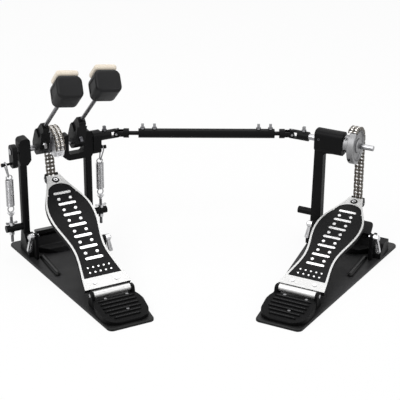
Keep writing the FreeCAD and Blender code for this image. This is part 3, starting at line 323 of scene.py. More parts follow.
def powder_coat(name, colour, roughness, skin, mirror):
    """Paint with patches of wear; skin is the strength of its small bumps."""
    finish, tree, shader, coords = new_finish(name, colour, 0.0, roughness, mirror)
    patches = grain(tree, coords, PATCH_WAVES)
    paler = tuple(c * 1.5 for c in colour)
    paint = two_colours(tree, spread(tree, patches, 0.0, 1.0), colour, paler)
    tree.links.new(paint, shader.inputs["Base Color"])
    tree.links.new(spread(tree, patches, roughness + 0.06, roughness - 0.06), shader.inputs["Roughness"])
    relief(tree, shader, grain(tree, coords, SKIN_WAVES, 2.0), skin, 0.0002)
    return finish


black_coat = powder_coat("black_powder_coat", (0.0035, 0.0035, 0.0038), 0.42, 0.25, 0.09)
tube_coat = powder_coat("tube_coat", DEEP_BLACK, 0.32, 0.08, 0.09)
print("coats", black_coat.name, tube_coat.name)

# %% [markdown]
# The base plates are sheet steel with a thin coat, paler in random patches.  The coat is painted darker
# towards the heel and paler towards the plate's middle, as painted shade and sheen.  Beside the pressed
# ribs it is painted darker still, as painted shade, and along their ridges paler, as a painted highlight.
# A painted mask could tell these apart, but the place in the pedal's own frame does so without a picture.

# %% Base plates
RIB_U = 41.5
RIB_MIDDLE = -70.0
RIB_HALF = 34.0
# Reaches of the painted shade beside the ribs and of the painted highlight on their ridges.
RIB_SHADE_REACH = (6.7, RIB_HALF + 6)
RIB_HIGHLIGHT_REACH = (1.7, RIB_HALF)
# Painted shade: over this stretch the sheet darkens towards the heel.
HEEL_SHADE_FROM = -290.0
HEEL_SHADE_TO = -180.0


def rib_zone(tree, from_ridge, from_middle, reach):
    """One beside a rib, nought elsewhere; reach is the zone's half width and half length."""
    near = reckon(tree, "LESS_THAN", from_ridge, reach[0])
    within = reckon(tree, "LESS_THAN", from_middle, reach[1])
    return reckon(tree, "MULTIPLY", near, within)


def plate_finish(name, place):
    """Thin coat on a base plate: painted shade at the heel and beside the ribs, a painted highlight on
    their ridges.
    """
    finish, tree, shader, coords = new_finish(name, (0.02, 0.02, 0.021), 0.0, 0.44, 0.22)
    across, along, _ = own_frame(tree, coords, place)
    patches = grain(tree, coords, PATCH_WAVES)
    wear = spread(tree, patches, 0.0, 1.0)
    rubbed = two_colours(tree, wear, (0.016, 0.016, 0.017), (0.026, 0.026, 0.027))
    # Painted shade and sheen: darker towards the heel, paler towards the middle.
    heel_shade = spread(tree, along, 0.0, 1.0, HEEL_SHADE_FROM, HEEL_SHADE_TO)
    sheet = two_colours(tree, heel_shade, DEEP_BLACK, rubbed)
    from_ridge = apart(tree, reckon(tree, "ABSOLUTE", across, 0), RIB_U)
    from_middle = apart(tree, along, RIB_MIDDLE)
    # Painted shade on the flanks beside each rib and a painted highlight along its ridge.
    flank_shade = rib_zone(tree, from_ridge, from_middle, RIB_SHADE_REACH)
    ridge = rib_zone(tree, from_ridge, from_middle, RIB_HIGHLIGHT_REACH)
    coat = two_colours(tree, flank_shade, sheet, (0.0015, 0.0015, 0.0017))
    tree.links.new(two_colours(tree, ridge, coat, (0.055, 0.055, 0.056)), shader.inputs["Base Color"])
    tree.links.new(spread(tree, patches, 0.50, 0.38), shader.inputs["Roughness"])
    relief(tree, shader, grain(tree, coords, SKIN_WAVES, 2.0), 0.3, 0.0002)
    return finish


plate_coat = {name: plate_finish(name + "_plate_coat", place) for name, place in PEDALS.items()}
print("plates", list(plate_coat))

# %% [markdown]
# Screws, springs, axles and the beater shafts are plated steel.  A metal of one roughness looks like a
# mirror, so noise breaks the reflection as fine polishing marks do.  The plating differs from piece to
# piece, so one function makes six greys, from bright levers to nearly black keys.  The nearly black grey
# on the second hub's key screws is painted shade; the main hub's key screw has a lighter grey.

# %% Bright steel
POLISH_WAVES = 240.0
CLOUD_WAVES = 60.0


def plated_steel(name, colour, roughness):
    """Metal with fine polishing marks and faint clouds."""
    finish, tree, shader, coords = new_finish(name, colour, 1.0, roughness)
    marks = grain(tree, coords, POLISH_WAVES)
    tree.links.new(spread(tree, marks, roughness - 0.06, roughness + 0.10), shader.inputs["Roughness"])
    darker = tuple(c * 0.82 for c in colour)
    clouds = grain(tree, coords, CLOUD_WAVES)
    tree.links.new(two_colours(tree, clouds, darker, colour), shader.inputs["Base Color"])
    relief(tree, shader, marks, 0.06, 0.0002)
    return finish


bright_steel = plated_steel("bright_steel", (0.64, 0.64, 0.65), 0.22)
axle_steel = plated_steel("axle_steel", (0.34, 0.34, 0.35), 0.18)
spring_steel = plated_steel("spring_steel", (0.47, 0.47, 0.48), 0.24)
screw_steel = plated_steel("screw_steel", (0.30, 0.30, 0.31), 0.28)
shaft_steel = plated_steel("shaft_steel", (0.19, 0.19, 0.20), 0.24)
dark_steel = plated_steel("dark_steel", (0.13, 0.13, 0.14), 0.30)
steels = (bright_steel, axle_steel, spring_steel, screw_steel, shaft_steel, dark_steel)
print("steels", [steel.name for steel in steels])

# %% [markdown]
# A spring rod is one bar with a bright cup on top and a dark rolled thread below it.  The thread could be
# a helix in the mesh, but at this size a bump shows it as well.  The height over the floor tells the cup
# from the thread, and a wave of the same height raises the thread.

# %% Spring rods
CUP_FROM = 72.0
THREAD_PITCH = 1.0


def rod_finish():
    """Bright cup over a dark thread."""
    finish, tree, shader, coords = new_finish("threaded_rod", (0.3, 0.3, 0.31), 1.0, 0.3)
    _, _, height = own_frame(tree, coords, TO_METRES)
    cup = reckon(tree, "GREATER_THAN", height, CUP_FROM)
    wave = reckon(tree, "SINE", reckon(tree, "MULTIPLY", height, 2 * math.pi / THREAD_PITCH), 0)
    crest = spread(tree, wave, 0.0, 1.0, -1.0, 1.0)
    # Painted shade: the thread's roots are painted darker than its crests.
    thread = two_colours(tree, crest, (0.05, 0.05, 0.05), (0.22, 0.22, 0.23))
    tree.links.new(two_colours(tree, cup, thread, (0.66, 0.66, 0.67)), shader.inputs["Base Color"])
    tree.links.new(spread(tree, grain(tree, coords, POLISH_WAVES), 0.22, 0.36), shader.inputs["Roughness"])
    relief(tree, shader, wave, 0.3, 0.0004)
    return finish


rod_steel = rod_finish()
print("rods", rod_steel.name)

# %% [markdown]
# The sprockets are cast and turned on a lathe.  Turning leaves fine rings round the axle.  Two darker
# circles on the face, at its steps, are painted shade.  The rings could be cut into the mesh, which would
# take thousands of faces.  The distance from the axle's own line draws them in the finish instead.

# %% Sprockets
FACE_SHADE_RINGS = (12.0, 25.0)
GROOVE_HALF = 0.5
TURNING_PITCH = 0.8


def turned_metal(name, place, brightness):
    """Bare casting with turned rings; brightness is its palest grey."""
    finish, tree, shader, coords = new_finish(name, (brightness, brightness, brightness), 0.9, 0.4)
    _, forward, height = own_frame(tree, coords, place)
    distance = slant(tree, forward, reckon(tree, "SUBTRACT", height, AXLE_H))
    # Painted shade: dark circles at the steps of the face.
    lines = [reckon(tree, "LESS_THAN", apart(tree, distance, r), GROOVE_HALF) for r in FACE_SHADE_RINGS]
    groove_shade = reckon(tree, "MAXIMUM", *lines)
    rings = reckon(tree, "SINE", reckon(tree, "MULTIPLY", distance, 2 * math.pi / TURNING_PITCH), 0)
    cloud = grain(tree, coords, CLOUD_WAVES)
    pale = (brightness, brightness, 1.02 * brightness)
    metal = two_colours(tree, spread(tree, cloud, 0.0, 1.0), tuple(0.66 * c for c in pale), pale)
    tree.links.new(two_colours(tree, groove_shade, metal, (0.08, 0.08, 0.085)), shader.inputs["Base Color"])
    tree.links.new(spread(tree, cloud, 0.44, 0.54), shader.inputs["Roughness"])
    relief(tree, shader, rings, 0.08, 0.0003)
    return finish


# Painted light and shade: the same casting is painted pale on the main sprocket and dark on the remote one.
SPROCKET_LIT_AND_SHADED_GREY = {"main": 0.90, "remote": 0.32}
sprocket_metal = {}
for name, place in PEDALS.items():
    sprocket_metal[name] = turned_metal(name + "_sprocket_metal", place, SPROCKET_LIT_AND_SHADED_GREY[name])
print("sprockets", list(sprocket_metal))

# %% [markdown]
# The chain is dark steel, browned by oil, with light showing through the gaps between its rollers.  Plates
# and rollers could have finishes of their own, but a chain is one solid.  Its strands lie at fixed places
# along the axle, so the distance along it tells a roller from a plate.  On the sprocket the rollers are
# painted bright, as a painted highlight where the chain lies over the top.

# %% Chain steel
STRAND = 3.5
ROLLER_HALF = 1.7
OILED = ((0.045, 0.036, 0.028), (0.13, 0.112, 0.095))
# Painted highlight: rollers painted bright where the chain lies over the sprocket.
ROLLER_HIGHLIGHT = ((0.45, 0.43, 0.40), (0.85, 0.83, 0.80))


def chain_steel(name, place, rollers):
    """Oily steel; rollers gives the darkest and the palest colour of the rollers."""
    finish, tree, shader, coords = new_finish(name, (0.16, 0.145, 0.13), 0.9, 0.34)
    along, _, _ = own_frame(tree, coords, place)
    from_strand = apart(tree, reckon(tree, "ABSOLUTE", along, 0), STRAND)
    roller = reckon(tree, "LESS_THAN", from_strand, ROLLER_HALF)
    oil = grain(tree, coords, 400.0)
    wiped = spread(tree, oil, 0.0, 1.0)
    plate = two_colours(tree, wiped, (0.08, 0.070, 0.060), (0.22, 0.202, 0.18))
    barrel = two_colours(tree, wiped, *rollers)
    tree.links.new(two_colours(tree, roller, plate, barrel), shader.inputs["Base Color"])
    tree.links.new(spread(tree, oil, 0.25, 0.5), shader.inputs["Roughness"])
    return finish


hanging_chain = {}
wrapped_chain_lit = {}
for name, place in PEDALS.items():
    hanging_chain[name] = chain_steel(name + "_hanging_chain", place, OILED)
    # Only the chain over the sprocket gets the painted highlight on its rollers.
    wrapped_chain_lit[name] = chain_steel(name + "_wrapped_chain_lit", place, ROLLER_HIGHLIGHT)
print("chains", list(hanging_chain), list(wrapped_chain_lit))

# %% [markdown]
# A footboard is one casting in two finishes.  The rim, the heel band, the toe and the hinge knuckle are
# bare bright metal, and the sunk field and the skirts are black.  Sorting its faces into two materials
# would work too, but the height above the board's own plane tells the finishes apart in one.  Two fine
# dark lines divide the knuckle, as on a hinge rolled from three strips, and a dark ring in the matt toe
# goes round its screw.

# %% Footboard
RIM_DEPTH = 0.5
KNUCKLE_END = 8.0
KNUCKLE_LINES = 12.0
LINE_HALF = 0.7
TOE_FROM = 205.0
TOE_SCREW_S = 246.24
SCREW_RING = 6.2
GROOVE_BLACK = (0.01, 0.01, 0.01)


def board_finish(name, place):
    """Bare rim, toe and knuckle round a black field."""
    finish, tree, shader, coords = new_finish(name, (0.7, 0.7, 0.7), 0.0, 0.4, 0.09)
    across, along, height = own_frame(tree, coords, place)
    rim = reckon(tree, "GREATER_THAN", height, BOARD_TOP - RIM_DEPTH)
    knuckle = reckon(tree, "LESS_THAN", along, KNUCKLE_END)
    from_line = apart(tree, reckon(tree, "ABSOLUTE", across, 0), KNUCKLE_LINES)
    whole = reckon(tree, "GREATER_THAN", from_line, LINE_HALF)
    bare = reckon(tree, "MAXIMUM", rim, reckon(tree, "MULTIPLY", knuckle, whole))
    crust = grain(tree, coords, 750.0, 3.0)
    patches = grain(tree, coords, 18.0)
    field = two_colours(tree, spread(tree, crust, 0.0, 1.0), DEEP_BLACK, (0.010, 0.010, 0.0105))
    metal = two_colours(tree, patches, (0.55, 0.55, 0.545), (0.67, 0.67, 0.665))
    toe = reckon(tree, "GREATER_THAN", along, TOE_FROM)
    from_screw = slant(tree, across, reckon(tree, "SUBTRACT", along, TOE_SCREW_S))
    ring = reckon(tree, "LESS_THAN", from_screw, SCREW_RING)
    metal = two_colours(tree, toe, metal, (0.66, 0.66, 0.655))
    metal = two_colours(tree, ring, metal, GROOVE_BLACK)
    tree.links.new(two_colours(tree, bare, field, metal), shader.inputs["Base Color"])
    brighter = reckon(tree, "MULTIPLY", reckon(tree, "SUBTRACT", knuckle, toe), 0.3)
    shine = reckon(tree, "ADD", brighter, 0.45)
    tree.links.new(reckon(tree, "MULTIPLY", bare, shine), shader.inputs["Metallic"])
    rough = reckon(tree, "ADD", spread(tree, patches, 0.42, 0.56), reckon(tree, "MULTIPLY", bare, -0.06))
    tree.links.new(rough, shader.inputs["Roughness"])
    relief(tree, shader, crust, 0.3, 0.0003)
    return finish


for name, place in BOARDS.items():
    nodes[name + "_footboard"].data.materials.clear()
    nodes[name + "_footboard"].data.materials.append(board_finish(name + "_board", place))
print("boards", list(BOARDS))

# %% [markdown]
# The screw in the toe is flat and bright, with a turned groove round its edge and a small socket.  It is a
# few pixels wide, so both are drawn in its finish by the distance from its own middle, as dark painted
# shade.

# %% Toe screw
SCREW_GROOVE = 4.5
SCREW_GROOVE_HALF = 1.1
SCREW_SOCKET = 1.5


def fastener_finish(name, place):
    """Bright fasteners, with a groove and a socket in the toe screw."""
    finish, tree, shader, coords = new_finish(name, (0.74, 0.74, 0.75), 0.9, 0.3)
    across, along, _ = own_frame(tree, coords, place)
    distance = slant(tree, across, reckon(tree, "SUBTRACT", along, TOE_SCREW_S))
    # Painted shade: the groove and the socket are dark paint, not cut into the mesh.
    groove_shade = reckon(tree, "LESS_THAN", apart(tree, distance, SCREW_GROOVE), SCREW_GROOVE_HALF)
    socket = reckon(tree, "LESS_THAN", distance, SCREW_SOCKET)
    dark = reckon(tree, "MAXIMUM", groove_shade, socket)
    marks = grain(tree, coords, POLISH_WAVES)
    steel = two_colours(tree, marks, (0.50, 0.50, 0.51), (0.66, 0.66, 0.67))
    tree.links.new(two_colours(tree, dark, steel, GROOVE_BLACK), shader.inputs["Base Color"])
    tree.links.new(spread(tree, marks, 0.26, 0.40), shader.inputs["Roughness"])
    return finish


fasteners = {name: fastener_finish(name + "_fasteners", place) for name, place in BOARDS.items()}
print("toe screws", list(fasteners))

# %% [markdown]
# The heel plate is a black moulding with a fine leathery skin, for which one noise drives colour,
# roughness and bump together.  Its cross ribs carry small teeth for grip, which a bump could not show
# against the light, so they are added as pieces further down.

# %% Heel plate

def heel_finish():
    """Leathery black skin."""
    finish, tree, shader, coords = new_finish("heel_coat", (0.003, 0.003, 0.0035), 0.0, 0.5, 0.07)
    skin = grain(tree, coords, 500.0)
    black = two_colours(tree, skin, (0.001, 0.001, 0.0012), (0.004, 0.004, 0.0043))
    tree.links.new(black, shader.inputs["Base Color"])
    tree.links.new(spread(tree, skin, 0.42, 0.6), shader.inputs["Roughness"])
    relief(tree, shader, skin, 0.3, 0.0004)
    return finish


heel_coat = heel_finish()
print("heel plates", heel_coat.name)

# %% [markdown]
# Every solid now gets its finish.  A list of all 60 names would be long and easy to get wrong, so the last
# words of a name choose it.  Finishes that read a pedal's frame are kept for each pedal by itself.

# %% Finishes on the solids
ENDINGS = (
    (("hinge_pin", "clamp_screw", "spring_nuts"), bright_steel),
    (("hub_screw", "spring_link"), axle_steel),
    (("beater_shaft",), shaft_steel),
    # Painted shade: the second hub's key screws get the darkest grey, the main hub's key screw a lighter
    # one.
    (("second_key_screws",), dark_steel),
    (("fork_screw", "tube_key_screws", "joint_cross", "heel_screws"), screw_steel),
    (("_axle",), axle_steel),
    (("spring_rods",), rod_steel),
    (("_spring",), spring_steel),
    (("heel_plate",), heel_coat),
    (("drive_tube",), tube_coat),
)
OF_ONE_PEDAL = (
    ("chain_wrapped", wrapped_chain_lit),
    ("chain_hanging", hanging_chain),
    ("board_fasteners", fasteners),
    ("sprocket", sprocket_metal),
    ("base_plate", plate_coat),
)


def finish_for(name):
    """Finish that belongs to a solid's name; castings are black."""
    for ending, finishes in OF_ONE_PEDAL:
        if name.endswith(ending):
            return finishes[name.split("_")[0]]
    for endings, finish in ENDINGS:
        if name.endswith(endings):
            return finish
    return black_coat


for name, solid in nodes.items():
    if not name.endswith("footboard"):
        solid.data.materials.clear()
        solid.data.materials.append(finish_for(name))
print("finished", len(nodes))

# %% [markdown]
# New pieces are made in drawing sizes and carried to their place by a matrix.  Moving the objects would
# be shorter, but the export puts every object back at the origin, so the place belongs in the mesh.  One
# helper does what all pieces need, and two more round edges and gather small forms in one mesh.

# %% Helpers for pieces
SHARP_FROM = 40.0


def new_piece(name, form, finish, body):
    """Turn a bmesh into a piece that rides on a body."""
    bmesh.ops.recalc_face_normals(form, faces=form.faces)
    mesh = bpy.data.meshes.new(name)
    form.to_mesh(mesh)
    form.free()
    for face in mesh.polygons:
        face.use_smooth = True
    mesh.set_sharp_from_angle(angle=math.radians(SHARP_FROM))
    mesh.materials.append(finish)
    piece = bpy.data.objects.new(name, mesh)
    scene.collection.objects.link(piece)
    if body is not None:
        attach(piece, body)
    print(name, len(mesh.polygons), "faces")
    return piece


def block(size):
    """Sharp box about the origin, in millimetres."""
    form = bmesh.new()
    bmesh.ops.create_cube(form, size=1.0)
    bmesh.ops.scale(form, vec=size, verts=form.verts)
    return form


def round_edges(form, edges, rounding, segments):
    """Bevel some edges to a round of a given size."""
    bmesh.ops.bevel(form, geom=edges, offset=rounding, segments=segments, profile=0.5, affect="EDGES",
                    material=-1)


def upright_edges(form):
    """Edges of a box that run along z."""
    return [e for e in form.edges if abs(e.verts[0].co.z - e.verts[1].co.z) > 0.5]


def gather(form, small):
    """Copy a small form into a larger one and free it."""
    mesh = bpy.data.meshes.new("small")
    small.to_mesh(mesh)
    small.free()
    form.from_mesh(mesh)
    bpy.data.meshes.remove(mesh)


print("helpers for pieces ready")

# %% [markdown]
# The beater head is a moulded block.  Its long edges are round and its ends have a smaller edge.  A
# subdivided cube would be soft all over, but the real block has flats, so a box is bevelled twice.  Each
# side has a shallow sunk panel: its flat is inset and pushed in.

# %% Beater heads
HEAD = (41.5, 37.5, 42.0)
HEAD_ROUND = 10.0
HEAD_EDGE = 5.0
PANEL_AREA = 200.0
PANEL_BORDER = 1.0
PANEL_SLOPE = 1.4
PANEL_DEPTH = 1.2
HEAD_DIST = 187.0
BEATER_OFFSET = 15.0
HEAD_TURN = -9.0
HUB_MIDDLE = {"main": -24.25, "second": 38.5}
moulding = powder_coat("black_moulding", (0.006, 0.006, 0.0065), 0.46, 0.12, 0.18)


def head_place(hub):
    """Matrix from a head's own frame to the common one."""
    on_shaft = Matrix.Translation((HUB_MIDDLE[hub], BEATER_OFFSET, HEAD_DIST))
    return PEDALS["main"] @ LEAN @ on_shaft @ Matrix.Rotation(math.radians(HEAD_TURN), 4, "Z")


def beater_head(hub):
    """Moulded head on one beater's shaft."""
    form = block(HEAD)
    round_edges(form, upright_edges(form), HEAD_ROUND, 8)
    long_edges = set(upright_edges(form))
    round_edges(form, [e for e in form.edges if e not in long_edges], HEAD_EDGE, 5)
    panels = [f for f in form.faces if abs(f.normal.x) > 0.99 and f.calc_area() > PANEL_AREA]
    for panel in panels:
        bmesh.ops.inset_individual(form, faces=[panel], thickness=PANEL_BORDER, depth=0.0)
        bmesh.ops.inset_individual(form, faces=[panel], thickness=PANEL_SLOPE, depth=-PANEL_DEPTH)
    bmesh.ops.transform(form, matrix=head_place(hub), verts=form.verts)
    piece = new_piece(hub + "_head_moulding", form, moulding, hub + "_beater")
    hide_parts(hub + "_beater_head")


for hub in HUB_MIDDLE:
    beater_head(hub)

# %% [markdown]
# The striking face is a block of pressed felt.  A cloth simulation suits a stuffed pad, but felt is dense
# and keeps its shape.  So a block gets soft edges and a slightly crowned face, and its nap comes from
# noise, sheen and a bump.

# %% Felt
FELT = (HEAD[0] - 6, 11.0, HEAD[2] - 6)
FELT_ROUND = 4.0
FELT_CROWN = 1.2
FELT_GAP = 0.02
LONG_EDGE = 8.0


def felt_finish():
    """Cream wool with a short nap."""
    finish, tree, shader, coords = new_finish("pressed_felt", (0.78, 0.70, 0.58), 0.0, 0.95)
    shader.inputs["Sheen Weight"].default_value = 0.4
    shader.inputs["Sheen Roughness"].default_value = 0.6
    fibre = grain(tree, coords, 900.0, 6.0)
    cloud = grain(tree, coords, 70.0)
    wool = two_colours(tree, spread(tree, fibre, 0.0, 1.0), (0.66, 0.57, 0.45), (0.86, 0.79, 0.68))
    shaded = two_colours(tree, spread(tree, cloud, 0.0, 0.5), wool, (0.80, 0.71, 0.58))
    tree.links.new(shaded, shader.inputs["Base Color"])
    relief(tree, shader, fibre, 0.6, 0.0006)
    return finish


felt = felt_finish()


def felt_pad(hub):
    """Felt block on the striking face of one head."""
    form = block(FELT)
    round_edges(form, list(form.edges), FELT_ROUND, 4)
    long_edges = [e for e in form.edges if e.calc_length() > LONG_EDGE]
    bmesh.ops.subdivide_edges(form, edges=long_edges, cuts=7, use_grid_fill=True)
    for vert in form.verts:
        if vert.co.y > 0:
            crown = (1 - (2 * vert.co.x / FELT[0]) ** 2) * (1 - (2 * vert.co.z / FELT[2]) ** 2)
            vert.co.y -= FELT_CROWN * (1 - crown)
    on_face = Matrix.Translation((0, HEAD[1] / 2 + FELT[1] / 2 + FELT_GAP, 0))
    bmesh.ops.transform(form, matrix=head_place(hub) @ on_face, verts=form.verts)
    piece = new_piece(hub + "_felt_pad", form, felt, hub + "_beater")
    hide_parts(hub + "_beater_felt")


for hub in HUB_MIDDLE:
    felt_pad(hub)

# %% [markdown]
# The return springs are close-wound, with a loop of the same wire at each end.  A curve with a round
# bevel could draw them, but one spin does it too: a small ring goes round the spring's axis and is lifted
# a little at every step.  The real spring's lower end stays with the frame and its upper one goes with the
# wire link; this piece rides on no body.

# %% Return springs
COIL_R = 5.8
WIRE_R = 1.0
WIRE_SIDES = 10
TURNS = 23
PITCH = 2.04
STEPS = 24
LOOP_R = 5.0
SPRING_U = 80.0
SPRING_LOW = 79.3
SPRING_HIGH = 138.6
LOOP_TOP = 146.6
COIL_LOW = SPRING_HIGH - WIRE_R - PITCH * TURNS


def wire_section(form, reach):
    """Round cut through the wire, at a distance from the upright axis."""
    stand = Matrix.Translation((reach, 0, 0)) @ Matrix.Rotation(math.radians(90), 4, "X")
    ring = bmesh.ops.create_circle(form, cap_ends=False, segments=WIRE_SIDES, radius=WIRE_R, matrix=stand)
    corners = set(ring["verts"])
    return ring["verts"] + [e for e in form.edges if e.verts[0] in corners]


def wire_coil(form):
    """Close-wound body: the cut turns round the axis and climbs by one pitch a turn."""
    lift = (0, 0, PITCH / STEPS)
    bmesh.ops.spin(form, geom=wire_section(form, COIL_R), cent=(0, 0, 0), axis=(0, 0, 1), dvec=lift,
                   angle=2 * math.pi * TURNS, steps=TURNS * STEPS, use_duplicate=False)
    bmesh.ops.holes_fill(form, edges=[e for e in form.edges if e.is_boundary], sides=0)
    bmesh.ops.translate(form, vec=(0, 0, COIL_LOW), verts=form.verts)


def end_loop(form, low, high):
    """Upright closed loop of the wire between two heights."""
    before = set(form.verts)
    bmesh.ops.spin(form, geom=wire_section(form, LOOP_R), cent=(0, 0, 0), axis=(0, 0, 1),
                   angle=2 * math.pi, steps=STEPS, use_merge=True, use_duplicate=False)
    fresh = [v for v in form.verts if v not in before]
    squeeze = (high - low) / (2 * (LOOP_R + WIRE_R))
    upright = Matrix.Translation((0, 0, (low + high) / 2)) @ Matrix.Diagonal((1, 1, squeeze, 1))
    bmesh.ops.transform(form, matrix=upright @ Matrix.Rotation(math.radians(90), 4, "X"), verts=fresh)


def return_spring(name, u):
    """Close-wound spring with one loop on the rod's cup below and one for the wire link above."""
    form = bmesh.new()
    wire_coil(form)
    end_loop(form, SPRING_LOW - WIRE_R, COIL_LOW + WIRE_R)
    end_loop(form, SPRING_HIGH - 2 * WIRE_R, LOOP_TOP)
    place = PEDALS["main"] @ Matrix.Translation((u, 0, 0))
    bmesh.ops.transform(form, matrix=place, verts=form.verts)
    piece = new_piece(name + "_coil", form, spring_steel, None)
    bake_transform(piece)
    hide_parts(name + "_spring")


return_spring("main", -SPRING_U)
return_spring("second", SPRING_U)
print("coils from", round(COIL_LOW, 1), "to", SPRING_HIGH, "mm over the floor")

# %% [markdown]
# A wire link hangs each spring on the stud of its cam.  The real one is a bent wire, wide round the stud
# and narrow where it goes through the spring's loop.  A stretched ring would flatten the wire in its bends,
# so a small circle is spun over the stud, drawn down along one leg, spun under the bottom and drawn up
# along the other leg.

# %% Wire links
LINK_WIRE_R = 1.2
LINK_TOP = 162.0
LINK_LOW = 145.6
LINK_WIDE = 6.6
LINK_NARROW = 2.5
LINK_OUT = (85.0, 81.5)
BEND_STEPS = 12


def drawn(form, section, step):
    """Extrude an open end of the wire along a straight leg."""
    edges = [e for e in section if isinstance(e, bmesh.types.BMEdge)]
    moved = bmesh.ops.extrude_edge_only(form, edges=edges)["geom"]
    bmesh.ops.translate(form, vec=step, verts=[v for v in moved if isinstance(v, bmesh.types.BMVert)])
    return [g for g in moved if not isinstance(g, bmesh.types.BMFace)]


def half_turn(form, section, centre):
    """Spin an open end of the wire half round an axis that runs along the stud."""
    turned = bmesh.ops.spin(form, geom=section, cent=centre, axis=(1, 0, 0), angle=math.pi,
                            steps=BEND_STEPS, use_duplicate=False)
    return [g for g in turned["geom_last"] if not isinstance(g, bmesh.types.BMFace)]


def wire_link(name, side):
    """Closed loop of wire round the stud and through the spring's upper loop."""
    form = bmesh.new()
    top_u, low_u = side * LINK_OUT[0], side * LINK_OUT[1]
    start = Matrix.Translation((top_u, LINK_WIDE, LINK_TOP))
    ring = bmesh.ops.create_circle(form, cap_ends=False, segments=WIRE_SIDES, radius=LINK_WIRE_R,
                                   matrix=start)
    taper = LINK_WIDE - LINK_NARROW
    section = half_turn(form, ring["verts"] + list(form.edges), (top_u, 0, LINK_TOP))
    section = drawn(form, section, (low_u - top_u, taper, LINK_LOW - LINK_TOP))
    section = half_turn(form, section, (low_u, 0, LINK_LOW))
    drawn(form, section, (top_u - low_u, taper, LINK_TOP - LINK_LOW))
    bmesh.ops.remove_doubles(form, verts=form.verts, dist=0.01)
    bmesh.ops.transform(form, matrix=PEDALS["main"], verts=form.verts)
    piece = new_piece(name + "_wire_link", form, axle_steel, name + "_spring_link")
    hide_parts(name + "_spring_link")


wire_link("main", -1)
wire_link("second", 1)

# %% [markdown]
# The black field of a footboard carries raised bright grips for the sole: cross bars with round ends,
# pairs of round pips between them, and two rows of small studs near the heel.  Paint in the finish would
# be flat from the side, so they are real forms, gathered in one mesh for each board.

# %% Grips on the footboards
FIELD_FLOOR = BOARD_TOP - 0.8
BAR = (30.0, 5.2, 1.1)
BAR_ROUND = 2.55
BAR_MIDDLE = 0.45
BAR_STEP = 24.0
BAR_ROWS = [72 + BAR_STEP * row for row in range(7)]
PIPS = (-10.0, 10.0)
PIP_R = 3.0
STUD_ROWS = (44.0, 54.0)
STUDS = (-18.0, -9.0, 0.0, 9.0, 18.0)
STUD_R = 1.8
PIP_HEIGHT = 0.9
PIP_MIDDLE = 0.4
grip_metal = plated_steel("grip_metal", (0.88, 0.88, 0.88), 0.36)


def grip_bar(place, s):
    """Bar with round ends across the field."""
    form = block(BAR)
    round_edges(form, upright_edges(form), BAR_ROUND, 5)
    here = Matrix.Translation((0, s, FIELD_FLOOR + BAR_MIDDLE))
    bmesh.ops.transform(form, matrix=place @ here, verts=form.verts)
    return form


def pips(form, place, across, s, radius):
    """Row of low cones, one at each distance from the board's middle line."""
    for u in across:
        here = Matrix.Translation((u, s, FIELD_FLOOR + PIP_MIDDLE))
        bmesh.ops.create_cone(form, cap_ends=True, segments=16, radius1=radius, radius2=0.8 * radius,
                              depth=PIP_HEIGHT, matrix=place @ here)


def grips(pedal):
    """Bars, pips and studs of one footboard."""
    place = BOARDS[pedal]
    form = bmesh.new()
    for s in BAR_ROWS:
        gather(form, grip_bar(place, s))
    for s in BAR_ROWS[1:]:
        pips(form, place, PIPS, s - BAR_STEP / 2, PIP_R)
    for s in STUD_ROWS:
        pips(form, place, STUDS, s, STUD_R)
    new_piece(pedal + "_grips", form, grip_metal, pedal + "_footboard")


for pedal in BOARDS:
    grips(pedal)

# %% [markdown]
# Rows of small blunt teeth stand on the heel plate's ribs and keep the heel from slipping.  An array
# modifier could repeat one tooth, but the rows differ in length, so a loop sets them.  Each tooth is a low
# cone with eight sides, because there are hundreds of them.

# %% Teeth on the heel ribs
HEEL_FRONT = -297.0
RIBS = 6
RIB_STEP = 8.4
FIRST_RIB = 11.0
RIB_HEIGHT = 1.4
RIB_HALVES = (22.0, 30.0)
RIB_GROWTH = 4.0
RIB_END = 2.5
HEEL_LOW = 8.5
HEEL_HIGH = 18.5
HEEL_RISE = 10.0 / 51.0
TOOTH_STEP = 2.6
TOOTH_RADII = (1.05, 0.6)
TOOTH_HEIGHT = 0.9
TOOTH_MIDDLE = 0.2
# The teeth are painted paler than the heel plate: a painted highlight where light catches them.
teeth_painted_highlight = powder_coat("teeth_painted_highlight", (0.026, 0.026, 0.027), 0.4, 0.1, 0.3)


def rib_row(index):
    """Place along the pedal, height and half length of one rib's row of teeth."""
    v = HEEL_FRONT + FIRST_RIB + RIB_STEP * index
    top = min(HEEL_LOW + (v - HEEL_FRONT) * HEEL_RISE, HEEL_HIGH) + RIB_HEIGHT
    half = min(RIB_HALVES[1], RIB_HALVES[0] + RIB_GROWTH * index) - RIB_END
    return v, top, half


def heel_teeth(pedal):
    """Teeth on all ribs of one heel plate."""
    form = bmesh.new()
    wide, narrow = TOOTH_RADII
    for index in range(RIBS):
        v, top, half = rib_row(index)
        count = int(half / TOOTH_STEP)
        for step in range(-count, count + 1):
            here = Matrix.Translation((step * TOOTH_STEP, v, top + TOOTH_MIDDLE))
            bmesh.ops.create_cone(form, cap_ends=True, segments=8, radius1=wide, radius2=narrow,
                                  depth=TOOTH_HEIGHT, matrix=PEDALS[pedal] @ here)
    new_piece(pedal + "_heel_teeth", form, teeth_painted_highlight, pedal + "_frame")


for pedal in PEDALS:
    heel_teeth(pedal)

# %% [markdown]
# The remote sprocket is a turned wheel: a collar for the set screws, a wheel with a sunk face and a boss
# round the axle, a plain rim on the drummer's side, and two rows of teeth under the chain.  Stacked
# cylinders would leave walls inside, so each part is an outline of distances along and from the axle, spun
# round it as on a lathe: all the way, or only over its own arc.

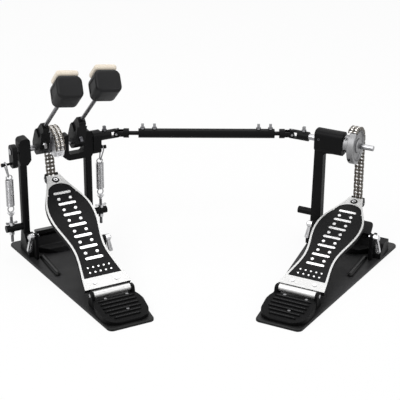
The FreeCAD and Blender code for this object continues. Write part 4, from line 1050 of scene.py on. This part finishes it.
# %% Remote sprocket
SPROCKET_TEETH = 29
CHAIN_PITCH = 6.35
PITCH_R = CHAIN_PITCH / (2 * math.sin(math.pi / SPROCKET_TEETH))
TOOTH_ANGLE = 360.0 / SPROCKET_TEETH
CHAIN_LEAVES = 1.45
CHAIN_ENDS = 122.0
RIM_ENDS = 268.0
WHEEL_SIDES = (-3.0, 8.0)
COLLAR = (-15.6, 15.0)
BORE_R = 5.02
FACE_SUNK = 2.5
BROKEN_EDGE = 0.8
RIM_EDGE = 0.7
RIM_TOP = PITCH_R + 1.6
RIM_LOW = PITCH_R - 4.6
WHEEL_R = PITCH_R - 3.4
TOOTH_ROOT = PITCH_R - 2.3
WEB_HALF = 1.1
WEB_EARLY = 18.0
SPROCKET_TOOTH = (1.6, 0.8, 2.8)
SPIN_STEP = 5
on_axle = PEDALS["remote"] @ Matrix.Translation((0, 0, AXLE_H))


def spun(form, outline, start, stop):
    """Spin an outline of places along and from the axle through an arc, in degrees, and close its ends."""
    verts = [form.verts.new((along, out, 0)) for along, out in outline]
    edges = [form.edges.new((v, w)) for v, w in zip(verts, verts[1:] + verts[:1])]
    bmesh.ops.rotate(form, cent=(0, 0, 0), matrix=Matrix.Rotation(math.radians(start), 3, "X"), verts=verts)
    sweep = stop - start
    whole = sweep == 360
    bmesh.ops.spin(form, geom=verts + edges, cent=(0, 0, 0), axis=(1, 0, 0), angle=math.radians(sweep),
                   steps=int(sweep / SPIN_STEP), use_merge=whole, use_duplicate=False)
    if not whole:
        bmesh.ops.holes_fill(form, edges=[e for e in form.edges if e.is_boundary], sides=0)


def wheel_outline():
    """Half section of collar, wheel, sunk face and boss, with broken edges."""
    left, right = WHEEL_SIDES
    end, collar = COLLAR
    sunk = right - FACE_SUNK
    hub = [(end, BORE_R), (end, collar - BROKEN_EDGE), (end + BROKEN_EDGE, collar), (left, collar)]
    wheel = [(left, WHEEL_R), (right, WHEEL_R), (right, WHEEL_R - 1.4), (sunk, WHEEL_R - 2.6)]
    boss = [(sunk, 12.5), (right - 0.6, 11.2), (right + 0.2, 10.4), (right + 0.2, BORE_R)]
    return hub + wheel + boss


def rim_outline():
    """Section of the plain rim, with broken edges."""
    left, right = WHEEL_SIDES
    shoulder = RIM_TOP - RIM_EDGE
    near = [(left, RIM_LOW), (left, shoulder), (left + RIM_EDGE, RIM_TOP)]
    far = [(right - RIM_EDGE, RIM_TOP), (right, shoulder), (right, RIM_LOW)]
    return near + far


def sprocket_teeth(form, along):
    """One row of teeth on its web, from where the chain leaves to where it ends."""
    inner = COLLAR[1] - 1 if along < 0 else PITCH_R - 5
    left, right = along - WEB_HALF, along + WEB_HALF
    web = [(left, inner), (left, TOOTH_ROOT), (right, TOOTH_ROOT), (right, inner)]
    spun(form, web, CHAIN_LEAVES - WEB_EARLY, CHAIN_ENDS)
    wide, narrow, tall = SPROCKET_TOOTH
    upwards = Matrix.Rotation(math.radians(-90), 4, "X") @ Matrix.Rotation(math.radians(45), 4, "Z")
    for index in range(-1, int((CHAIN_ENDS - CHAIN_LEAVES) / TOOTH_ANGLE)):
        turn = Matrix.Rotation(math.radians((index + 0.5) * TOOTH_ANGLE + CHAIN_LEAVES), 4, "X")
        stand = Matrix.Translation((along, TOOTH_ROOT + 1.2, 0))
        bmesh.ops.create_cone(form, cap_ends=True, segments=4, radius1=wide, radius2=narrow, depth=tall,
                              matrix=turn @ stand @ upwards)


def remote_wheel():
    """Wheel, rim and teeth as one turned piece."""
    form = bmesh.new()
    spun(form, wheel_outline(), 0, 360)
    spun(form, rim_outline(), CHAIN_ENDS, RIM_ENDS)
    for along in (-STRAND, STRAND):
        sprocket_teeth(form, along)
    bmesh.ops.transform(form, matrix=on_axle, verts=form.verts)
    metal = sprocket_metal["remote"]
    piece = new_piece("remote_sprocket_wheel", form, metal, "remote_axle")
    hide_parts("remote_sprocket")


remote_wheel()

# %% [markdown]
# Black socket screws hold the sprocket on its axle and the chain's end on the rim, and a plain one holds
# the bearing in the long housing.  A dark spot in the finish would do from the front only.  So a short plug
# is made, and its face is inset and sunk for the key.

# %% Socket screws
SET_SCREWS = ((-12.2, COLLAR[1], 127.0), (-12.2, COLLAR[1], 213.0), (0.4, RIM_TOP, 212.0))
SET_SCREW_R = 2.9
HOUSING_SCREW = (-59.0, -12.0, 189.4)
HOUSING_SCREW_R = 2.2
PLUG_LENGTH = 1.2
SOCKET_DEPTH = 0.7
socket_black = powder_coat("socket_black", (0.002, 0.002, 0.002), 0.6, 0.05, 0.03)


def socket_screw(form, place, radius):
    """Plug along its own z with a sunk socket, half in the metal."""
    plug = bmesh.new()
    bmesh.ops.create_cone(plug, cap_ends=True, segments=24, radius1=radius, radius2=0.88 * radius,
                          depth=PLUG_LENGTH)
    face = max(plug.faces, key=lambda f: f.calc_center_median().z)
    bmesh.ops.inset_individual(plug, faces=[face], thickness=0.3 * radius, depth=0.0)
    bmesh.ops.inset_individual(plug, faces=[face], thickness=0.1, depth=-SOCKET_DEPTH)
    bmesh.ops.transform(plug, matrix=place, verts=plug.verts)
    gather(form, plug)


def sprocket_screws():
    """Set screws of the remote sprocket."""
    form = bmesh.new()
    for along, out, angle in SET_SCREWS:
        here = Matrix.Rotation(math.radians(angle), 4, "X") @ Matrix.Translation((along, out, 0))
        outwards = Matrix.Rotation(math.radians(-90), 4, "X")
        socket_screw(form, on_axle @ here @ outwards, SET_SCREW_R)
    new_piece("remote_sprocket_screws", form, socket_black, "remote_axle")


def housing_screw():
    """Screw on the drummer's side of the long housing."""
    form = bmesh.new()
    outwards = Matrix.Translation(HOUSING_SCREW) @ Matrix.Rotation(math.radians(90), 4, "X")
    socket_screw(form, PEDALS["remote"] @ outwards, HOUSING_SCREW_R)
    new_piece("remote_housing_screw", form, dark_steel, "remote_frame")


sprocket_screws()
housing_screw()
